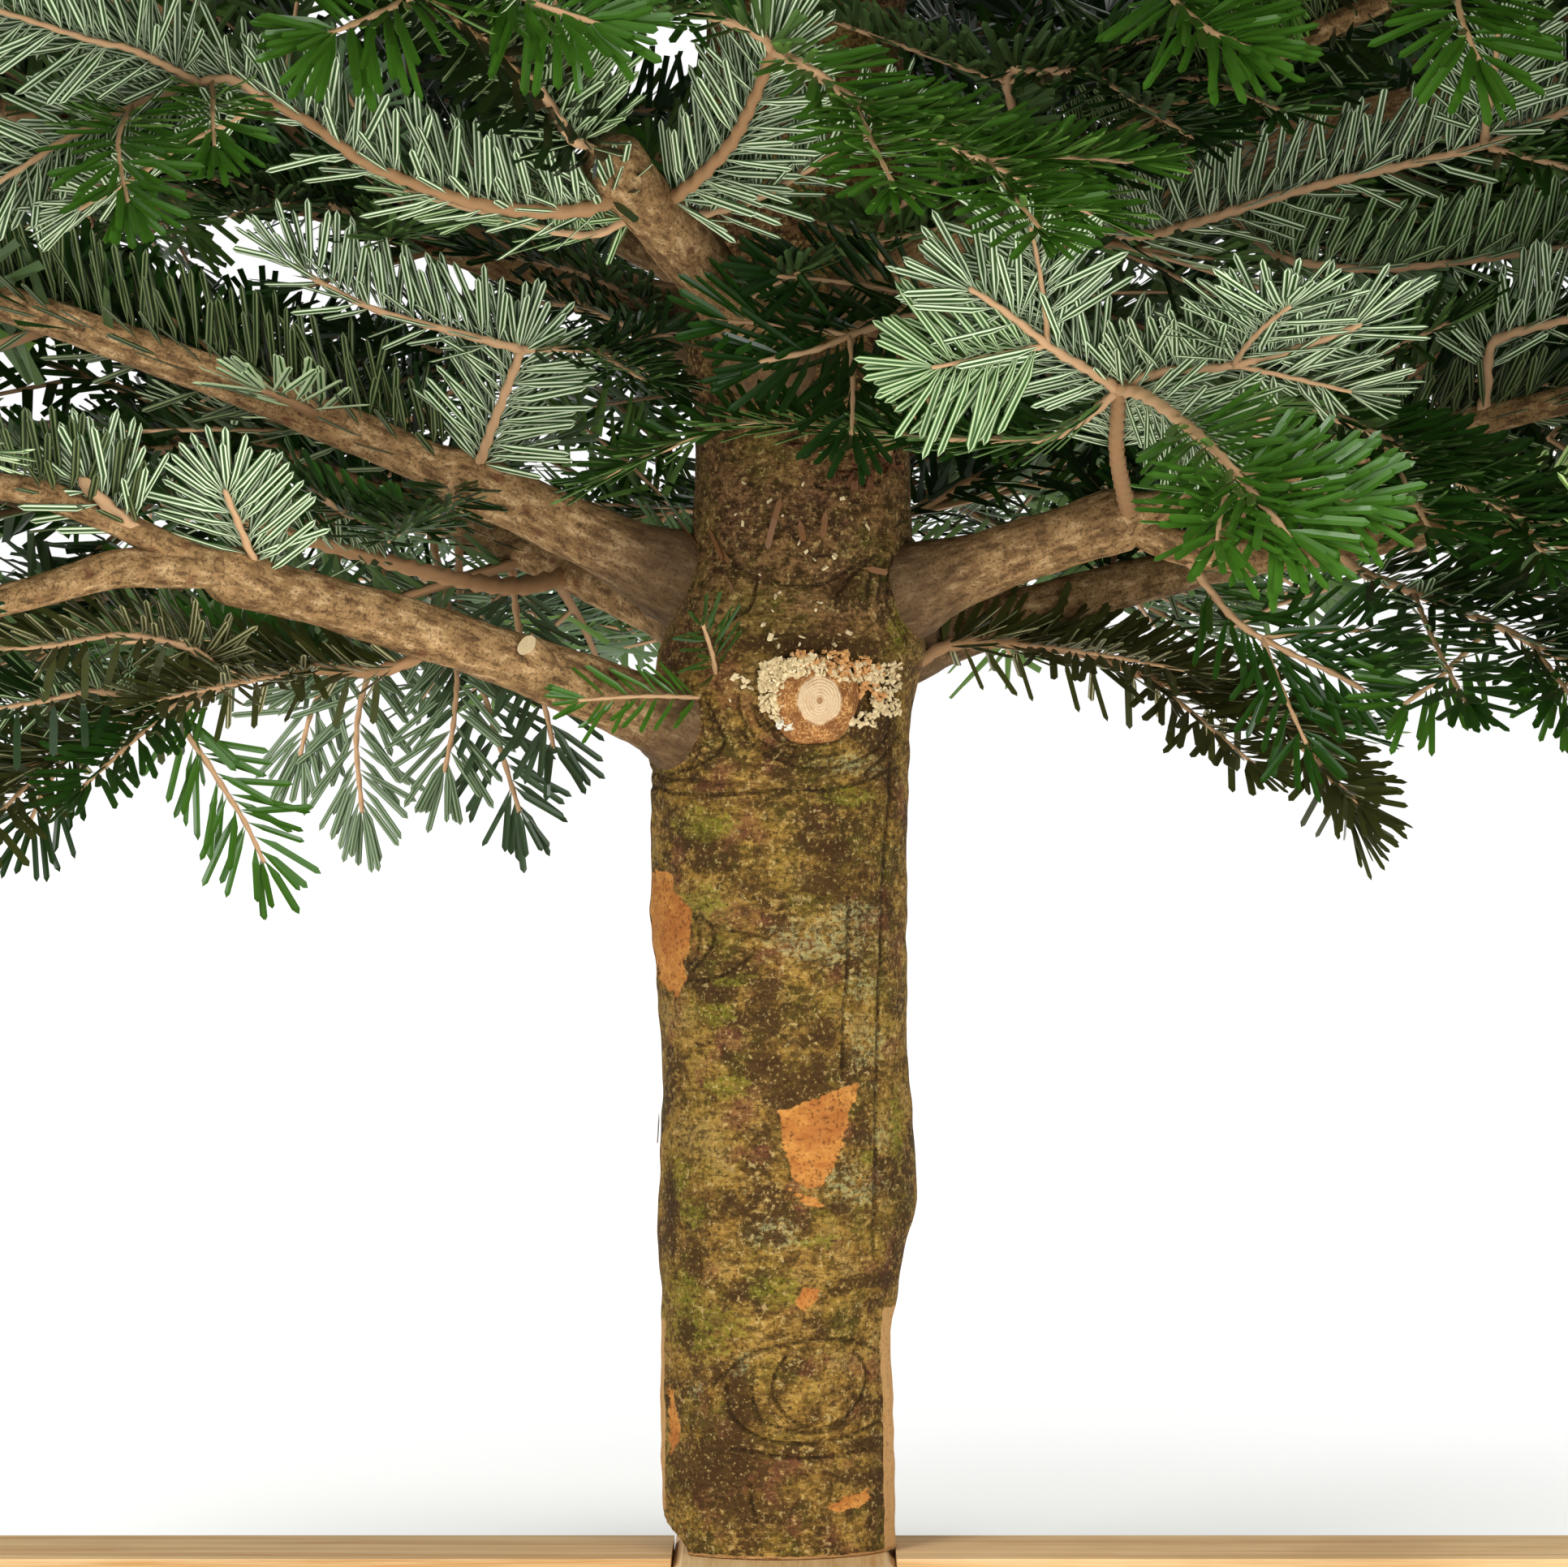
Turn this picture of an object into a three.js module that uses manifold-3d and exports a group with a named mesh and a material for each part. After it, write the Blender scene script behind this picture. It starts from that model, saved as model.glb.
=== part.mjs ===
// A cut silver fir of about 1.8 m, with a sawn low bough, on a plain wooden cross.
// Millimetres, +Z up. The origin is the middle of the cross's flat underside,
// and the side with the sawn bough faces -Y. Azimuths turn from +X towards +Y.

import * as THREE from "three";
import { mergeVertices } from "three/addons/utils/BufferGeometryUtils.js";
import Module from "manifold-3d";

const wasm = await Module();
wasm.setup();

const { PI, sin, cos, tan, atan2, hypot, exp, max, min, round } = Math;
const DEGREE = PI / 180;
const UP = new THREE.Vector3(0, 0, 1);

// Clearance between two pieces that touch
const GAP = 0.3;

// Wooden cross: two boards, half-lapped, screwed up into the trunk
const BOARD_LENGTH = 520;
const BOARD_WIDTH = 68;
const BOARD_THICK = 32;
const BOARD_CHAMFER = 3;
const CROSS_TURN = 0;
const SCREW_OFFSET = 19;
const SCREW_RADIUS = 4;
const SCREW_HEAD_RADIUS = 8;
const SCREW_HEAD_DEPTH = 5;
const SCREW_SUNK = 2;
const SCREW_REACH = 62;
const SCREW_POINT = 9;
const SCREW_SIDES = 8;

// Trunk: heights are measured from its flat cut, which rests on the cross
const CUT_LEVEL = BOARD_THICK + GAP;
const TRUNK_SIDES = 14;
const TRUNK_TOP = 1515;
const TRUNK_TOP_RADIUS = 4.6;
const LOWER_TOP = 340;
const LOWER_PROFILE = [
  [0, 35.2], [39, 35.7], [76, 35.2], [110, 38.2], [151, 36.6], [189, 38.8],
  [226, 38.8], [251, 40], [276, 40.5], [300, 34], [326, 32.6], [LOWER_TOP, 32.6],
];
// Levels of the trunk's rings: by hand below, and around each whorl above
const LOWER_LEVELS = [
  0, 9, 14.5, 39, 67, 78, 94, 110, 128, 151, 172, 189, 208, 226, 251, 276, 289, 300, 326,
];
const COLLAR_LEVELS = [-26, -7, 7, 26];
const OVAL = { share: 0.022, phase: 0.7 };
const LOBES = { share: 0.013, twist: 1 / 90 };
const COLLAR_SWELL = 0.13;
const COLLAR_HEIGHT = 13;
const LEAN_LOW = 6;
const LEAN_HIGH = 12;
const LEAN_FROM = 235;
const LEAN_TO = 320;
// Sides shaved flat near the cut, so that the foot fits a narrow stand
const SHAVED_LEFT = { x: -35.4, from: 14, to: 68 };
const SHAVED_RIGHT = { x: 34.8, from: 3, to: 72 };
const CUT_CHAMFER = 8;

// Sawn bough: a short stub with its callus, low on the front
const STUB_AZIMUTH = 288 * DEGREE;
const STUB_HEIGHT = 260;
const STUB_RADIUS = 11;
const STUB_CALLUS_RADIUS = 20;
const STUB_PROUD = 4.5;
const STUB_DEPTH = 14;
const STUB_EDGE = 1.5;
const STUB_LIP = 1.8;
const CALLUS_EDGE = 3;
const CALLUS_BACK = 6.5;
const STUB_SIDES = 12;

// Whorls, lowest first: height on the trunk, reach from its axis, rise at the
// trunk, droop of the tips below that straight line, pairs of side shoots, and
// the number of teeth on each edge of their sprays
const WHORLS = [
  { height: 268, reach: 600, rise: 20.5, droop: 130, pairs: 4, teeth: 3, seed: 1101 },
  { height: 368, reach: 618, rise: 22, droop: 118, pairs: 4, teeth: 3, seed: 1202 },
  { height: 490, reach: 596, rise: 23, droop: 98, pairs: 4, teeth: 2, seed: 1303 },
  { height: 640, reach: 548, rise: 25, droop: 78, pairs: 4, teeth: 2, seed: 1404 },
  { height: 820, reach: 474, rise: 28, droop: 58, pairs: 4, teeth: 2, seed: 1505 },
  { height: 1025, reach: 385, rise: 32, droop: 42, pairs: 4, teeth: 2, seed: 1606 },
  { height: 1250, reach: 285, rise: 37, droop: 28, pairs: 3, teeth: 2, seed: 1707 },
  { height: 1490, reach: 172, rise: 43, droop: 14, pairs: 2, teeth: 2, seed: 1808 },
];

// Limbs of the two lowest whorls, which show as bare boughs near the trunk:
// azimuth, sideways sweep at the tip, height, rise and droop that differ from
// the whorl's own, radius at the trunk, and where the foliage starts
const BOUGHS = [
  [
    { name: "a", azimuth: 211, sweep: 9, height: 238, rise: 21.7, droop: 190, radius: 9.6, bare: 205 },
    { name: "b", azimuth: 187, sweep: -6, height: 280, rise: 27.5, droop: 150, radius: 9.2, bare: 195 },
    { name: "c", azimuth: 128, sweep: -6, height: 266, rise: 20, droop: 118, radius: 8, bare: 165 },
    { name: "d", azimuth: 82, sweep: 4, height: 270, rise: 20, droop: 124, radius: 8.4, bare: 165 },
    { name: "e", azimuth: 345, sweep: -8, height: 281, rise: 20, droop: 122, radius: 9.6, bare: 165 },
    { name: "f", azimuth: 27, sweep: 6, height: 266, rise: 17, droop: 116, radius: 8.2, bare: 165 },
  ],
  [
    { name: "a", azimuth: 250, sweep: -4, height: 354, rise: 22, droop: 112, radius: 10.4, bare: 170 },
    { name: "b", azimuth: 309, sweep: 5, height: 371, rise: 22, droop: 118, radius: 9, bare: 150 },
    { name: "c", azimuth: 4, sweep: -5, height: 376, rise: 23, droop: 122, radius: 8.4, bare: 155 },
    { name: "d", azimuth: 63, sweep: 4, height: 368, rise: 22, droop: 118, radius: 8, bare: 150 },
    { name: "e", azimuth: 122, sweep: 3, height: 372, rise: 22, droop: 118, radius: 8, bare: 150 },
    { name: "f", azimuth: 160, sweep: 4, height: 362, rise: 22, droop: 110, radius: 8.6, bare: 155 },
  ],
];
// Upper whorls: number of limbs and the azimuth of the first
const UPPER_LIMBS = [
  { count: 6, first: 282 }, { count: 6, first: 247 }, { count: 5, first: 276 },
  { count: 5, first: 239 }, { count: 4, first: 262 }, { count: 4, first: 222 },
];
const LETTERS = "abcdef";
const AZIMUTH_JITTER = 6;
const UPPER_SWEEP = 5;
const REACH_SPREAD = [0.95, 1];
const BOUGH_SIDES = 7;
const BOUGH_STEPS = 4;
const BOUGH_TAPER = 0.62;
const TAPER_POWER = 0.8;
const ROOT_SUNK = 0.5;
const ROOT_FLARE = 0.55;
const ROOT_FLARE_LENGTH = 16;

// Crown: the layer between two whorls is shared half and half, the lowest
// layer hangs lower, and the layers lift on the left, where bough b rises
const LAYER_MARGIN = 2;
const SECTOR_MARGIN = 2.5;
const SECTOR_MOST = 44;
const REACH_MARGIN = 4;
const LOWEST_HANG = 128;
const SWELL_HEIGHT = 34;
const SWELL_AZIMUTH = 186 * DEGREE;
const SWELL_WIDTH = 26 * DEGREE;
const SWELL_REACH = 240;

// Foliage of a limb: stem, side shoots in pairs, and a spray on each
const STEM_RADIUS = 6.4;
const STEM_TIP_RADIUS = 3.2;
const STEM_SIDES = 3;
const STEM_STEPS = 5;
const STEM_LEAST = 0.45;
const STEM_OVERLAP = 12;
const FIRST_SHOOT = 14;
const FIRST_UPPER_SHOOT = 34;
const LAST_SHOOT = 0.86;
const TIP_SPRAY = 0.19;
const SHOOT_ANGLE = [46, 57];
const SHOOT_LIFT = [3, 13];
const LIFT_PER_WHORL = 2.2;
const SHOOT_JITTER = 0.3;
const LOWEST_DROP = 16;
const SHOOT_ROLL = [-48, 48];
const SHOOT_SPREAD = 1.16;
const SHOOT_REACH = 0.76;
const SHOOT_SPARE = 24;
const SHOOT_LENGTHS = [0.9, 1.08];
const SHOOT_TRIMS = [1, 0.82, 0.66, 0.5];
const SHOOT_FORWARD = 0.13;
const SHOOT_SAG = 0.07;
const SHORTEST_SHOOT = 50;
const SPRAY_WIDTH = 0.135;
const SPRAY_WIDTH_SPARE = 9;
const SPRAY_THICK = 0.013;
const SPRAY_THICK_LEAST = 2.2;
const SPRAY_NECK = 13;
const SPRAY_NECK_WIDTH = 2.4;
const VALLEY = 0.36;
const TOOTH_FORWARD = 0.3;
const LAST_TOOTH = 0.93;
const LAST_TOOTH_WIDTH = 0.62;

// Leader: the last upright shoot, from the trunk's top to the crown's tip
const LEADER_TIP = 1780;
const LEADER_RADIUS = 3.6;
const LEADER_TAPER = 0.42;
const LEADER_SIDES = 4;
const LEADER_SHOOTS = 6;
const LEADER_FROM = 0.16;
const LEADER_TO = 0.74;
const LEADER_ANGLE = 36;
const LEADER_SPRAY = 74;
const LEADER_CONE_HEIGHT = 52;
const LEADER_CONE_SLOPE = 0.86;
const GOLDEN_TURN = 137.5 * DEGREE;

const bark = new THREE.MeshStandardMaterial({ color: 0x665338, roughness: 0.9, metalness: 0 });
const youngBark = new THREE.MeshStandardMaterial({ color: 0x8a6a4c, roughness: 0.88, metalness: 0 });
const needles = new THREE.MeshStandardMaterial({ color: 0x3f6b3c, roughness: 0.5, metalness: 0 });
const sawnBoard = new THREE.MeshStandardMaterial({ color: 0xc79c66, roughness: 0.75, metalness: 0 });
const zincSteel = new THREE.MeshStandardMaterial({ color: 0xb4b6ba, roughness: 0.4, metalness: 1 });

// Seeded random numbers, the same on every run
class Dice {
  constructor(seed) {
    this.state = seed;
  }

  next() {
    this.state = (this.state * 16807) % 2147483647;
    return this.state / 2147483647;
  }

  between([low, high]) {
    return low + (high - low) * this.next();
  }
}

// Closed geometry to solid, and back
function solidOf(geometry) {
  const bare = geometry.clone();
  bare.deleteAttribute("normal");
  bare.deleteAttribute("uv");
  const merged = mergeVertices(bare, 1e-4);
  const vertProperties = Float32Array.from(merged.attributes.position.array);
  const triVerts = Uint32Array.from(merged.index.array);
  return new wasm.Manifold(new wasm.Mesh({ numProp: 3, vertProperties, triVerts }));
}

function geometryOf(solid) {
  const mesh = solid.getMesh();
  const geometry = new THREE.BufferGeometry();
  geometry.setAttribute("position", new THREE.BufferAttribute(mesh.vertProperties, 3));
  geometry.setIndex(new THREE.BufferAttribute(mesh.triVerts, 1));
  geometry.computeVertexNormals();
  return geometry;
}

// A closed tube with capped ends. place(step, angle, share) gives the point at
// a ring, an angle round it, and a share of its radius, 0 at a cap's centre.
function tube(sides, steps, place) {
  const geometry = new THREE.CylinderGeometry(1, 1, 1, sides, steps);
  const position = geometry.attributes.position;
  for (let i = 0; i < position.count; i++) {
    const step = round((position.getY(i) + 0.5) * steps);
    const share = hypot(position.getX(i), position.getZ(i));
    const angle = atan2(-position.getZ(i), position.getX(i));
    const point = place(step, angle, share < 0.5 ? 0 : 1);
    position.setXYZ(i, point.x, point.y, point.z);
  }
  return geometry;
}

// Trunk
function smoothStep(value, from, to) {
  const share = min(1, max(0, (value - from) / (to - from)));
  return share * share * (3 - 2 * share);
}

function leanAt(height) {
  const low = LEAN_LOW * smoothStep(height, LEAN_FROM, LEAN_TO);
  return low + (LEAN_HIGH - LEAN_LOW) * max(0, height - LEAN_TO) / (TRUNK_TOP - LEAN_TO);
}

function profileAt(height) {
  const next = max(1, LOWER_PROFILE.findIndex(([level]) => level >= height));
  const [from, start] = LOWER_PROFILE[next - 1];
  const [to, end] = LOWER_PROFILE[next];
  return start + (end - start) * (height - from) / (to - from);
}

function trunkRadius(height) {
  if (height <= LOWER_TOP) {
    return profileAt(max(0, height));
  }
  const lowerRadius = profileAt(LOWER_TOP);
  const share = (height - LOWER_TOP) / (TRUNK_TOP - LOWER_TOP);
  const plain = lowerRadius + (TRUNK_TOP_RADIUS - lowerRadius) * min(1, share);
  const swell = WHORLS.reduce((sum, whorl) => {
    return sum + exp(-(((height - whorl.height) / COLLAR_HEIGHT) ** 2));
  }, 0);
  return plain * (1 + COLLAR_SWELL * swell);
}

function trunkPoint(height, angle, grown) {
  const oval = OVAL.share * sin(2 * angle + OVAL.phase);
  const lobes = LOBES.share * sin(3 * angle + LOBES.twist * height);
  const radius = trunkRadius(height) * (1 + oval + lobes) + grown;
  let x = radius * cos(angle);
  const y = radius * sin(angle);
  if (height > SHAVED_LEFT.from && height < SHAVED_LEFT.to) {
    x = max(x, SHAVED_LEFT.x - grown);
  }
  if (height > SHAVED_RIGHT.from && height < SHAVED_RIGHT.to) {
    x = min(x, SHAVED_RIGHT.x + grown);
  }
  if (height === 0) {
    x = max(x, -trunkRadius(0) + CUT_CHAMFER - grown);
  }
  return new THREE.Vector3(x + leanAt(height), y, CUT_LEVEL + height);
}

function trunkLevels() {
  const upper = WHORLS.slice(1).flatMap(({ height }) => COLLAR_LEVELS.map((level) => height + level));
  return [...LOWER_LEVELS, ...upper.filter((level) => level < TRUNK_TOP), TRUNK_TOP];
}

function trunkSolid(grown) {
  const levels = trunkLevels();
  return solidOf(tube(TRUNK_SIDES, levels.length - 1, (step, angle, share) => {
    const point = trunkPoint(levels[step], angle, grown);
    if (share === 0) {
      point.x = leanAt(levels[step]);
      point.y = 0;
    }
    return point;
  }));
}

// The sawn stub on its swollen callus, from well inside the trunk
function stubSolid() {
  const inside = trunkRadius(STUB_HEIGHT) - STUB_DEPTH;
  const face = trunkRadius(STUB_HEIGHT) + STUB_PROUD;
  const profile = [
    new THREE.Vector2(0, inside),
    new THREE.Vector2(STUB_CALLUS_RADIUS, inside),
    new THREE.Vector2(STUB_CALLUS_RADIUS - CALLUS_EDGE, face - CALLUS_BACK),
    new THREE.Vector2(STUB_RADIUS, face - STUB_LIP),
    new THREE.Vector2(STUB_RADIUS - STUB_EDGE, face),
    new THREE.Vector2(0, face),
  ];
  const geometry = new THREE.LatheGeometry(profile, STUB_SIDES);
  geometry.rotateZ(-PI / 2);
  geometry.rotateZ(STUB_AZIMUTH);
  geometry.translate(leanAt(STUB_HEIGHT), 0, CUT_LEVEL + STUB_HEIGHT);
  return solidOf(geometry);
}

// Wooden cross
function boardSolid() {
  const half = { x: BOARD_LENGTH / 2, y: BOARD_WIDTH / 2 };
  const outline = new THREE.Shape();
  outline.moveTo(-half.x + BOARD_CHAMFER, -half.y + BOARD_CHAMFER);
  outline.lineTo(half.x - BOARD_CHAMFER, -half.y + BOARD_CHAMFER);
  outline.lineTo(half.x - BOARD_CHAMFER, half.y - BOARD_CHAMFER);
  outline.lineTo(-half.x + BOARD_CHAMFER, half.y - BOARD_CHAMFER);
  outline.closePath();
  const geometry = new THREE.ExtrudeGeometry(outline, {
    depth: BOARD_THICK - 2 * BOARD_CHAMFER,
    bevelEnabled: true,
    bevelSize: BOARD_CHAMFER,
    bevelThickness: BOARD_CHAMFER,
    bevelSegments: 1,
  });
  geometry.translate(0, 0, BOARD_CHAMFER);
  return solidOf(geometry);
}

// The slot in the middle of a board that takes half the other board's height
function lapSolid(from, to) {
  const width = BOARD_WIDTH + 2 * GAP;
  const geometry = new THREE.BoxGeometry(width, BOARD_WIDTH * 2, to - from);
  geometry.translate(0, 0, (from + to) / 2);
  return solidOf(geometry);
}

function screwSolid(grown) {
  const shank = SCREW_RADIUS + grown;
  const head = SCREW_HEAD_RADIUS + grown;
  const foot = grown > 0 ? -1 : SCREW_SUNK;
  const neck = SCREW_SUNK + SCREW_HEAD_DEPTH + grown;
  const profile = [
    new THREE.Vector2(0, foot),
    new THREE.Vector2(head, foot),
    new THREE.Vector2(head, SCREW_SUNK + grown),
    new THREE.Vector2(shank, neck),
    new THREE.Vector2(shank, SCREW_REACH - SCREW_POINT),
    new THREE.Vector2(0, SCREW_REACH + grown * 2),
  ];
  const unique = profile.filter((point, i) => i === 0 || point.distanceTo(profile[i - 1]) > 0.01);
  const geometry = new THREE.LatheGeometry(unique, SCREW_SIDES);
  geometry.rotateX(PI / 2);
  return solidOf(geometry);
}

function screwPlace(side) {
  return new THREE.Vector3(side * SCREW_OFFSET * cos(CROSS_TURN), side * SCREW_OFFSET * sin(CROSS_TURN), 0);
}

function screwHoles() {
  const holes = [-1, 1].map((side) => {
    const place = screwPlace(side);
    return screwSolid(GAP).translate([place.x, place.y, 0]);
  });
  return holes[0].add(holes[1]);
}

// Crown: limb lines and the space of each limb's foliage
function limbsOf(whorl, index) {
  const boughs = BOUGHS[index];
  if (boughs) {
    return boughs.map((bough) => ({ ...bough, reach: whorl.reach }));
  }
  const { count, first } = UPPER_LIMBS[index - BOUGHS.length];
  const dice = new Dice(whorl.seed);
  return Array.from({ length: count }, (_, i) => ({
    name: LETTERS[i],
    azimuth: first + (360 / count) * i + dice.between([-AZIMUTH_JITTER, AZIMUTH_JITTER]),
    sweep: dice.between([-UPPER_SWEEP, UPPER_SWEEP]),
    height: whorl.height,
    rise: whorl.rise,
    droop: whorl.droop,
    reach: whorl.reach * dice.between(REACH_SPREAD),
  }));
}

function limbPoint(limb, radius) {
  const share = radius / limb.reach;
  const azimuth = (limb.azimuth + limb.sweep * share * share) * DEGREE;
  const rise = tan(limb.rise * DEGREE) * radius - limb.droop * share * share;
  const height = CUT_LEVEL + limb.height + rise;
  return new THREE.Vector3(limb.axis + radius * cos(azimuth), radius * sin(azimuth), height);
}

function limbFrame(limb, radius) {
  const point = limbPoint(limb, radius);
  const along = limbPoint(limb, radius + 1).sub(limbPoint(limb, radius - 1)).normalize();
  const side = new THREE.Vector3().crossVectors(along, UP).normalize();
  const over = new THREE.Vector3().crossVectors(side, along);
  return { point, along, side, over };
}

function turnBetween(from, to) {
  const turn = (to - from) % 360;
  return turn < 0 ? turn + 360 : turn;
}

// Each limb's sector runs halfway to its neighbours in the whorl
function withSectors(limbs) {
  const ordered = [...limbs].sort((a, b) => turnBetween(0, a.azimuth) - turnBetween(0, b.azimuth));
  ordered.forEach((limb, i) => {
    const before = ordered[(i + ordered.length - 1) % ordered.length];
    const after = ordered[(i + 1) % ordered.length];
    limb.left = limb.azimuth + turnBetween(limb.azimuth, after.azimuth) / 2;
    limb.right = limb.azimuth - turnBetween(before.azimuth, limb.azimuth) / 2;
    limb.left = min(limb.left, limb.azimuth + SECTOR_MOST);
    limb.right = max(limb.right, limb.azimuth - SECTOR_MOST);
  });
  return limbs;
}

function layerMiddle(index, radius) {
  const whorl = WHORLS[index];
  const share = radius / whorl.reach;
  return CUT_LEVEL + whorl.height + tan(whorl.rise * DEGREE) * radius - whorl.droop * share * share;
}

function layerBound(index, radius, azimuth) {
  if (index < 0) {
    return layerMiddle(0, radius) - LOWEST_HANG;
  }
  if (index === WHORLS.length - 1) {
    const foot = CUT_LEVEL + WHORLS[index].height + LEADER_CONE_HEIGHT;
    return foot + LEADER_CONE_SLOPE * radius;
  }
  const middle = (layerMiddle(index, radius) + layerMiddle(index + 1, radius)) / 2;
  const off = atan2(sin(azimuth - SWELL_AZIMUTH), cos(azimuth - SWELL_AZIMUTH)) / SWELL_WIDTH;
  const swell = SWELL_HEIGHT * exp(-off * off) * min(1, radius / SWELL_REACH);
  return middle + swell / (1 + index) ** 2;
}

function inSpace(limb, point) {
  const x = point.x - limb.axis;
  const radius = hypot(x, point.y);
  const azimuth = atan2(point.y, x);
  const leftRoom = radius * sin(limb.left * DEGREE - azimuth);
  const rightRoom = radius * sin(azimuth - limb.right * DEGREE);
  if (leftRoom < SECTOR_MARGIN || rightRoom < SECTOR_MARGIN) {
    return false;
  }
  const spread = hypot(point.x, point.y);
  const azimuthThere = atan2(point.y, point.x);
  const floor = layerBound(limb.whorl - 1, spread, azimuthThere) + LAYER_MARGIN;
  const ceiling = layerBound(limb.whorl, spread, azimuthThere) - LAYER_MARGIN;
  return point.z > floor && point.z < ceiling && radius < limb.reach + REACH_MARGIN;
}

// Side shoots: where each leaves the stem, its direction, length and roll
function shootsOf(limb) {
  const whorl = WHORLS[limb.whorl];
  const dice = new Dice(whorl.seed * 7 + LETTERS.indexOf(limb.name) * 101);
  const drop = limb.whorl === 0 ? LOWEST_DROP : 0;
  const first = limb.bare ? limb.bare + FIRST_SHOOT : trunkRadius(limb.height) + FIRST_UPPER_SHOOT;
  const step = (limb.reach * LAST_SHOOT - first) / whorl.pairs;
  const shoots = [];
  for (let pair = 0; pair < whorl.pairs; pair++) {
    for (const hand of [-1, 1]) {
      const radius = first + step * (pair + SHOOT_JITTER * dice.next());
      const angle = dice.between(SHOOT_ANGLE) * DEGREE;
      const tilt = dice.between(SHOOT_LIFT) + LIFT_PER_WHORL * limb.whorl;
      const lifted = (pair % 2 ? tilt : -tilt - drop) * DEGREE;
      const roll = dice.between(SHOOT_ROLL) * DEGREE;
      const spread = min(SHOOT_SPREAD * radius, SHOOT_REACH * (limb.reach - radius) + SHOOT_SPARE);
      const length = spread * dice.between(SHOOT_LENGTHS);
      const frame = limbFrame(limb, radius);
      const flat = frame.along.clone().multiplyScalar(cos(angle));
      flat.addScaledVector(frame.side, hand * sin(angle));
      const direction = flat.clone().multiplyScalar(cos(lifted)).addScaledVector(frame.over, sin(lifted));
      shoots.push({ root: frame.point, direction, forward: frame.along, length, roll });
    }
  }
  return shoots;
}

function shootPoint(shoot, share) {
  const bend = share * share * shoot.length;
  return shoot.root.clone()
    .addScaledVector(shoot.direction, share * shoot.length)
    .addScaledVector(shoot.forward, SHOOT_FORWARD * bend)
    .addScaledVector(UP, -SHOOT_SAG * bend);
}

// A spray of needles: a blade, thick along its rib, with toothed sharp edges.
// It grows from a point deep in the stem to a slim three-cornered neck. Its
// corners are the root point, the ribs, the valleys and teeth, and the tip.
function sprayCorners(shoot, teeth) {
  const across = new THREE.Vector3().crossVectors(shoot.direction, UP).normalize();
  across.applyAxisAngle(shoot.direction, shoot.roll);
  const normal = new THREE.Vector3().crossVectors(across, shoot.direction).normalize();
  const width = SPRAY_WIDTH * shoot.length + SPRAY_WIDTH_SPARE;
  const thick = max(SPRAY_THICK_LEAST, SPRAY_THICK * shoot.length) / 2;
  const neck = SPRAY_NECK / shoot.length;
  const corners = [shoot.root.clone()];
  for (let tooth = 0; tooth < teeth; tooth++) {
    const middle = shootPoint(shoot, max(neck, tooth / teeth));
    const valley = tooth === 0 ? SPRAY_NECK_WIDTH : VALLEY * width;
    const tipShare = min(LAST_TOOTH, (tooth + 1 + TOOTH_FORWARD) / teeth);
    const tipWidth = width * (tooth === teeth - 1 ? LAST_TOOTH_WIDTH : 1);
    corners.push(middle.clone().addScaledVector(normal, thick));
    corners.push(middle.clone().addScaledVector(normal, -thick));
    for (const hand of [1, -1]) {
      corners.push(middle.clone().addScaledVector(across, hand * valley));
      corners.push(shootPoint(shoot, tipShare).addScaledVector(across, hand * tipWidth));
    }
  }
  return [...corners, shootPoint(shoot, 1)];
}

function spraySolid(corners, teeth) {
  const [root, tip] = [0, corners.length - 1];
  const corner = (tooth, place) => (tooth === teeth ? tip : 1 + 6 * tooth + place);
  const rib = (tooth, face) => corner(tooth, face);
  const valley = (tooth, hand) => corner(tooth, 2 + 2 * hand);
  const point = (tooth, hand) => corner(tooth, 3 + 2 * hand);
  const faces = [];
  const add = (a, b, c, flip) => faces.push(...(flip ? [a, c, b] : [a, b, c]));
  for (let tooth = 0; tooth < teeth; tooth++) {
    for (const [hand, face] of [[0, 0], [0, 1], [1, 0], [1, 1]]) {
      const flip = hand !== face;
      const under = tooth === 0 && face === 1;
      const start = under ? valley(0, hand) : rib(tooth, face);
      if (!under) {
        add(start, valley(tooth, hand), point(tooth, hand), flip);
      }
      add(start, point(tooth, hand), valley(tooth + 1, hand), flip);
      if (tooth < teeth - 1) {
        add(start, valley(tooth + 1, hand), rib(tooth + 1, face), flip);
      }
    }
  }
  add(valley(0, 0), valley(0, 1), rib(1, 1), false);
  add(root, rib(0, 0), valley(0, 0), true);
  add(root, valley(0, 1), rib(0, 0), true);
  add(root, valley(0, 0), valley(0, 1), true);
  const geometry = new THREE.BufferGeometry();
  const places = corners.flatMap((place) => place.toArray());
  geometry.setAttribute("position", new THREE.Float32BufferAttribute(places, 3));
  geometry.setIndex(faces);
  return solidOf(geometry);
}

// A round piece of limb between two radii, square-ended across its line
function limbSolid(limb, from, to, sides, steps, radiusAt) {
  return solidOf(tube(sides, steps, (step, angle, share) => {
    const along = from + (to - from) * step / steps;
    const frame = limbFrame(limb, along);
    const size = radiusAt(along) * share;
    return frame.point
      .addScaledVector(frame.side, size * sin(angle))
      .addScaledVector(frame.over, size * cos(angle));
  }));
}

function boughSolid(limb, grownTrunk) {
  const root = trunkRadius(limb.height);
  const radiusAt = (along) => {
    const share = max(0, (along - root) / (limb.reach - root));
    const flare = exp(-max(0, along - root) / ROOT_FLARE_LENGTH);
    return limb.radius * (1 - BOUGH_TAPER * share ** TAPER_POWER) * (1 + ROOT_FLARE * flare);
  };
  const whole = limbSolid(limb, root * ROOT_SUNK, limb.bare, BOUGH_SIDES, BOUGH_STEPS, radiusAt);
  return whole.subtract(grownTrunk);
}

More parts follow.
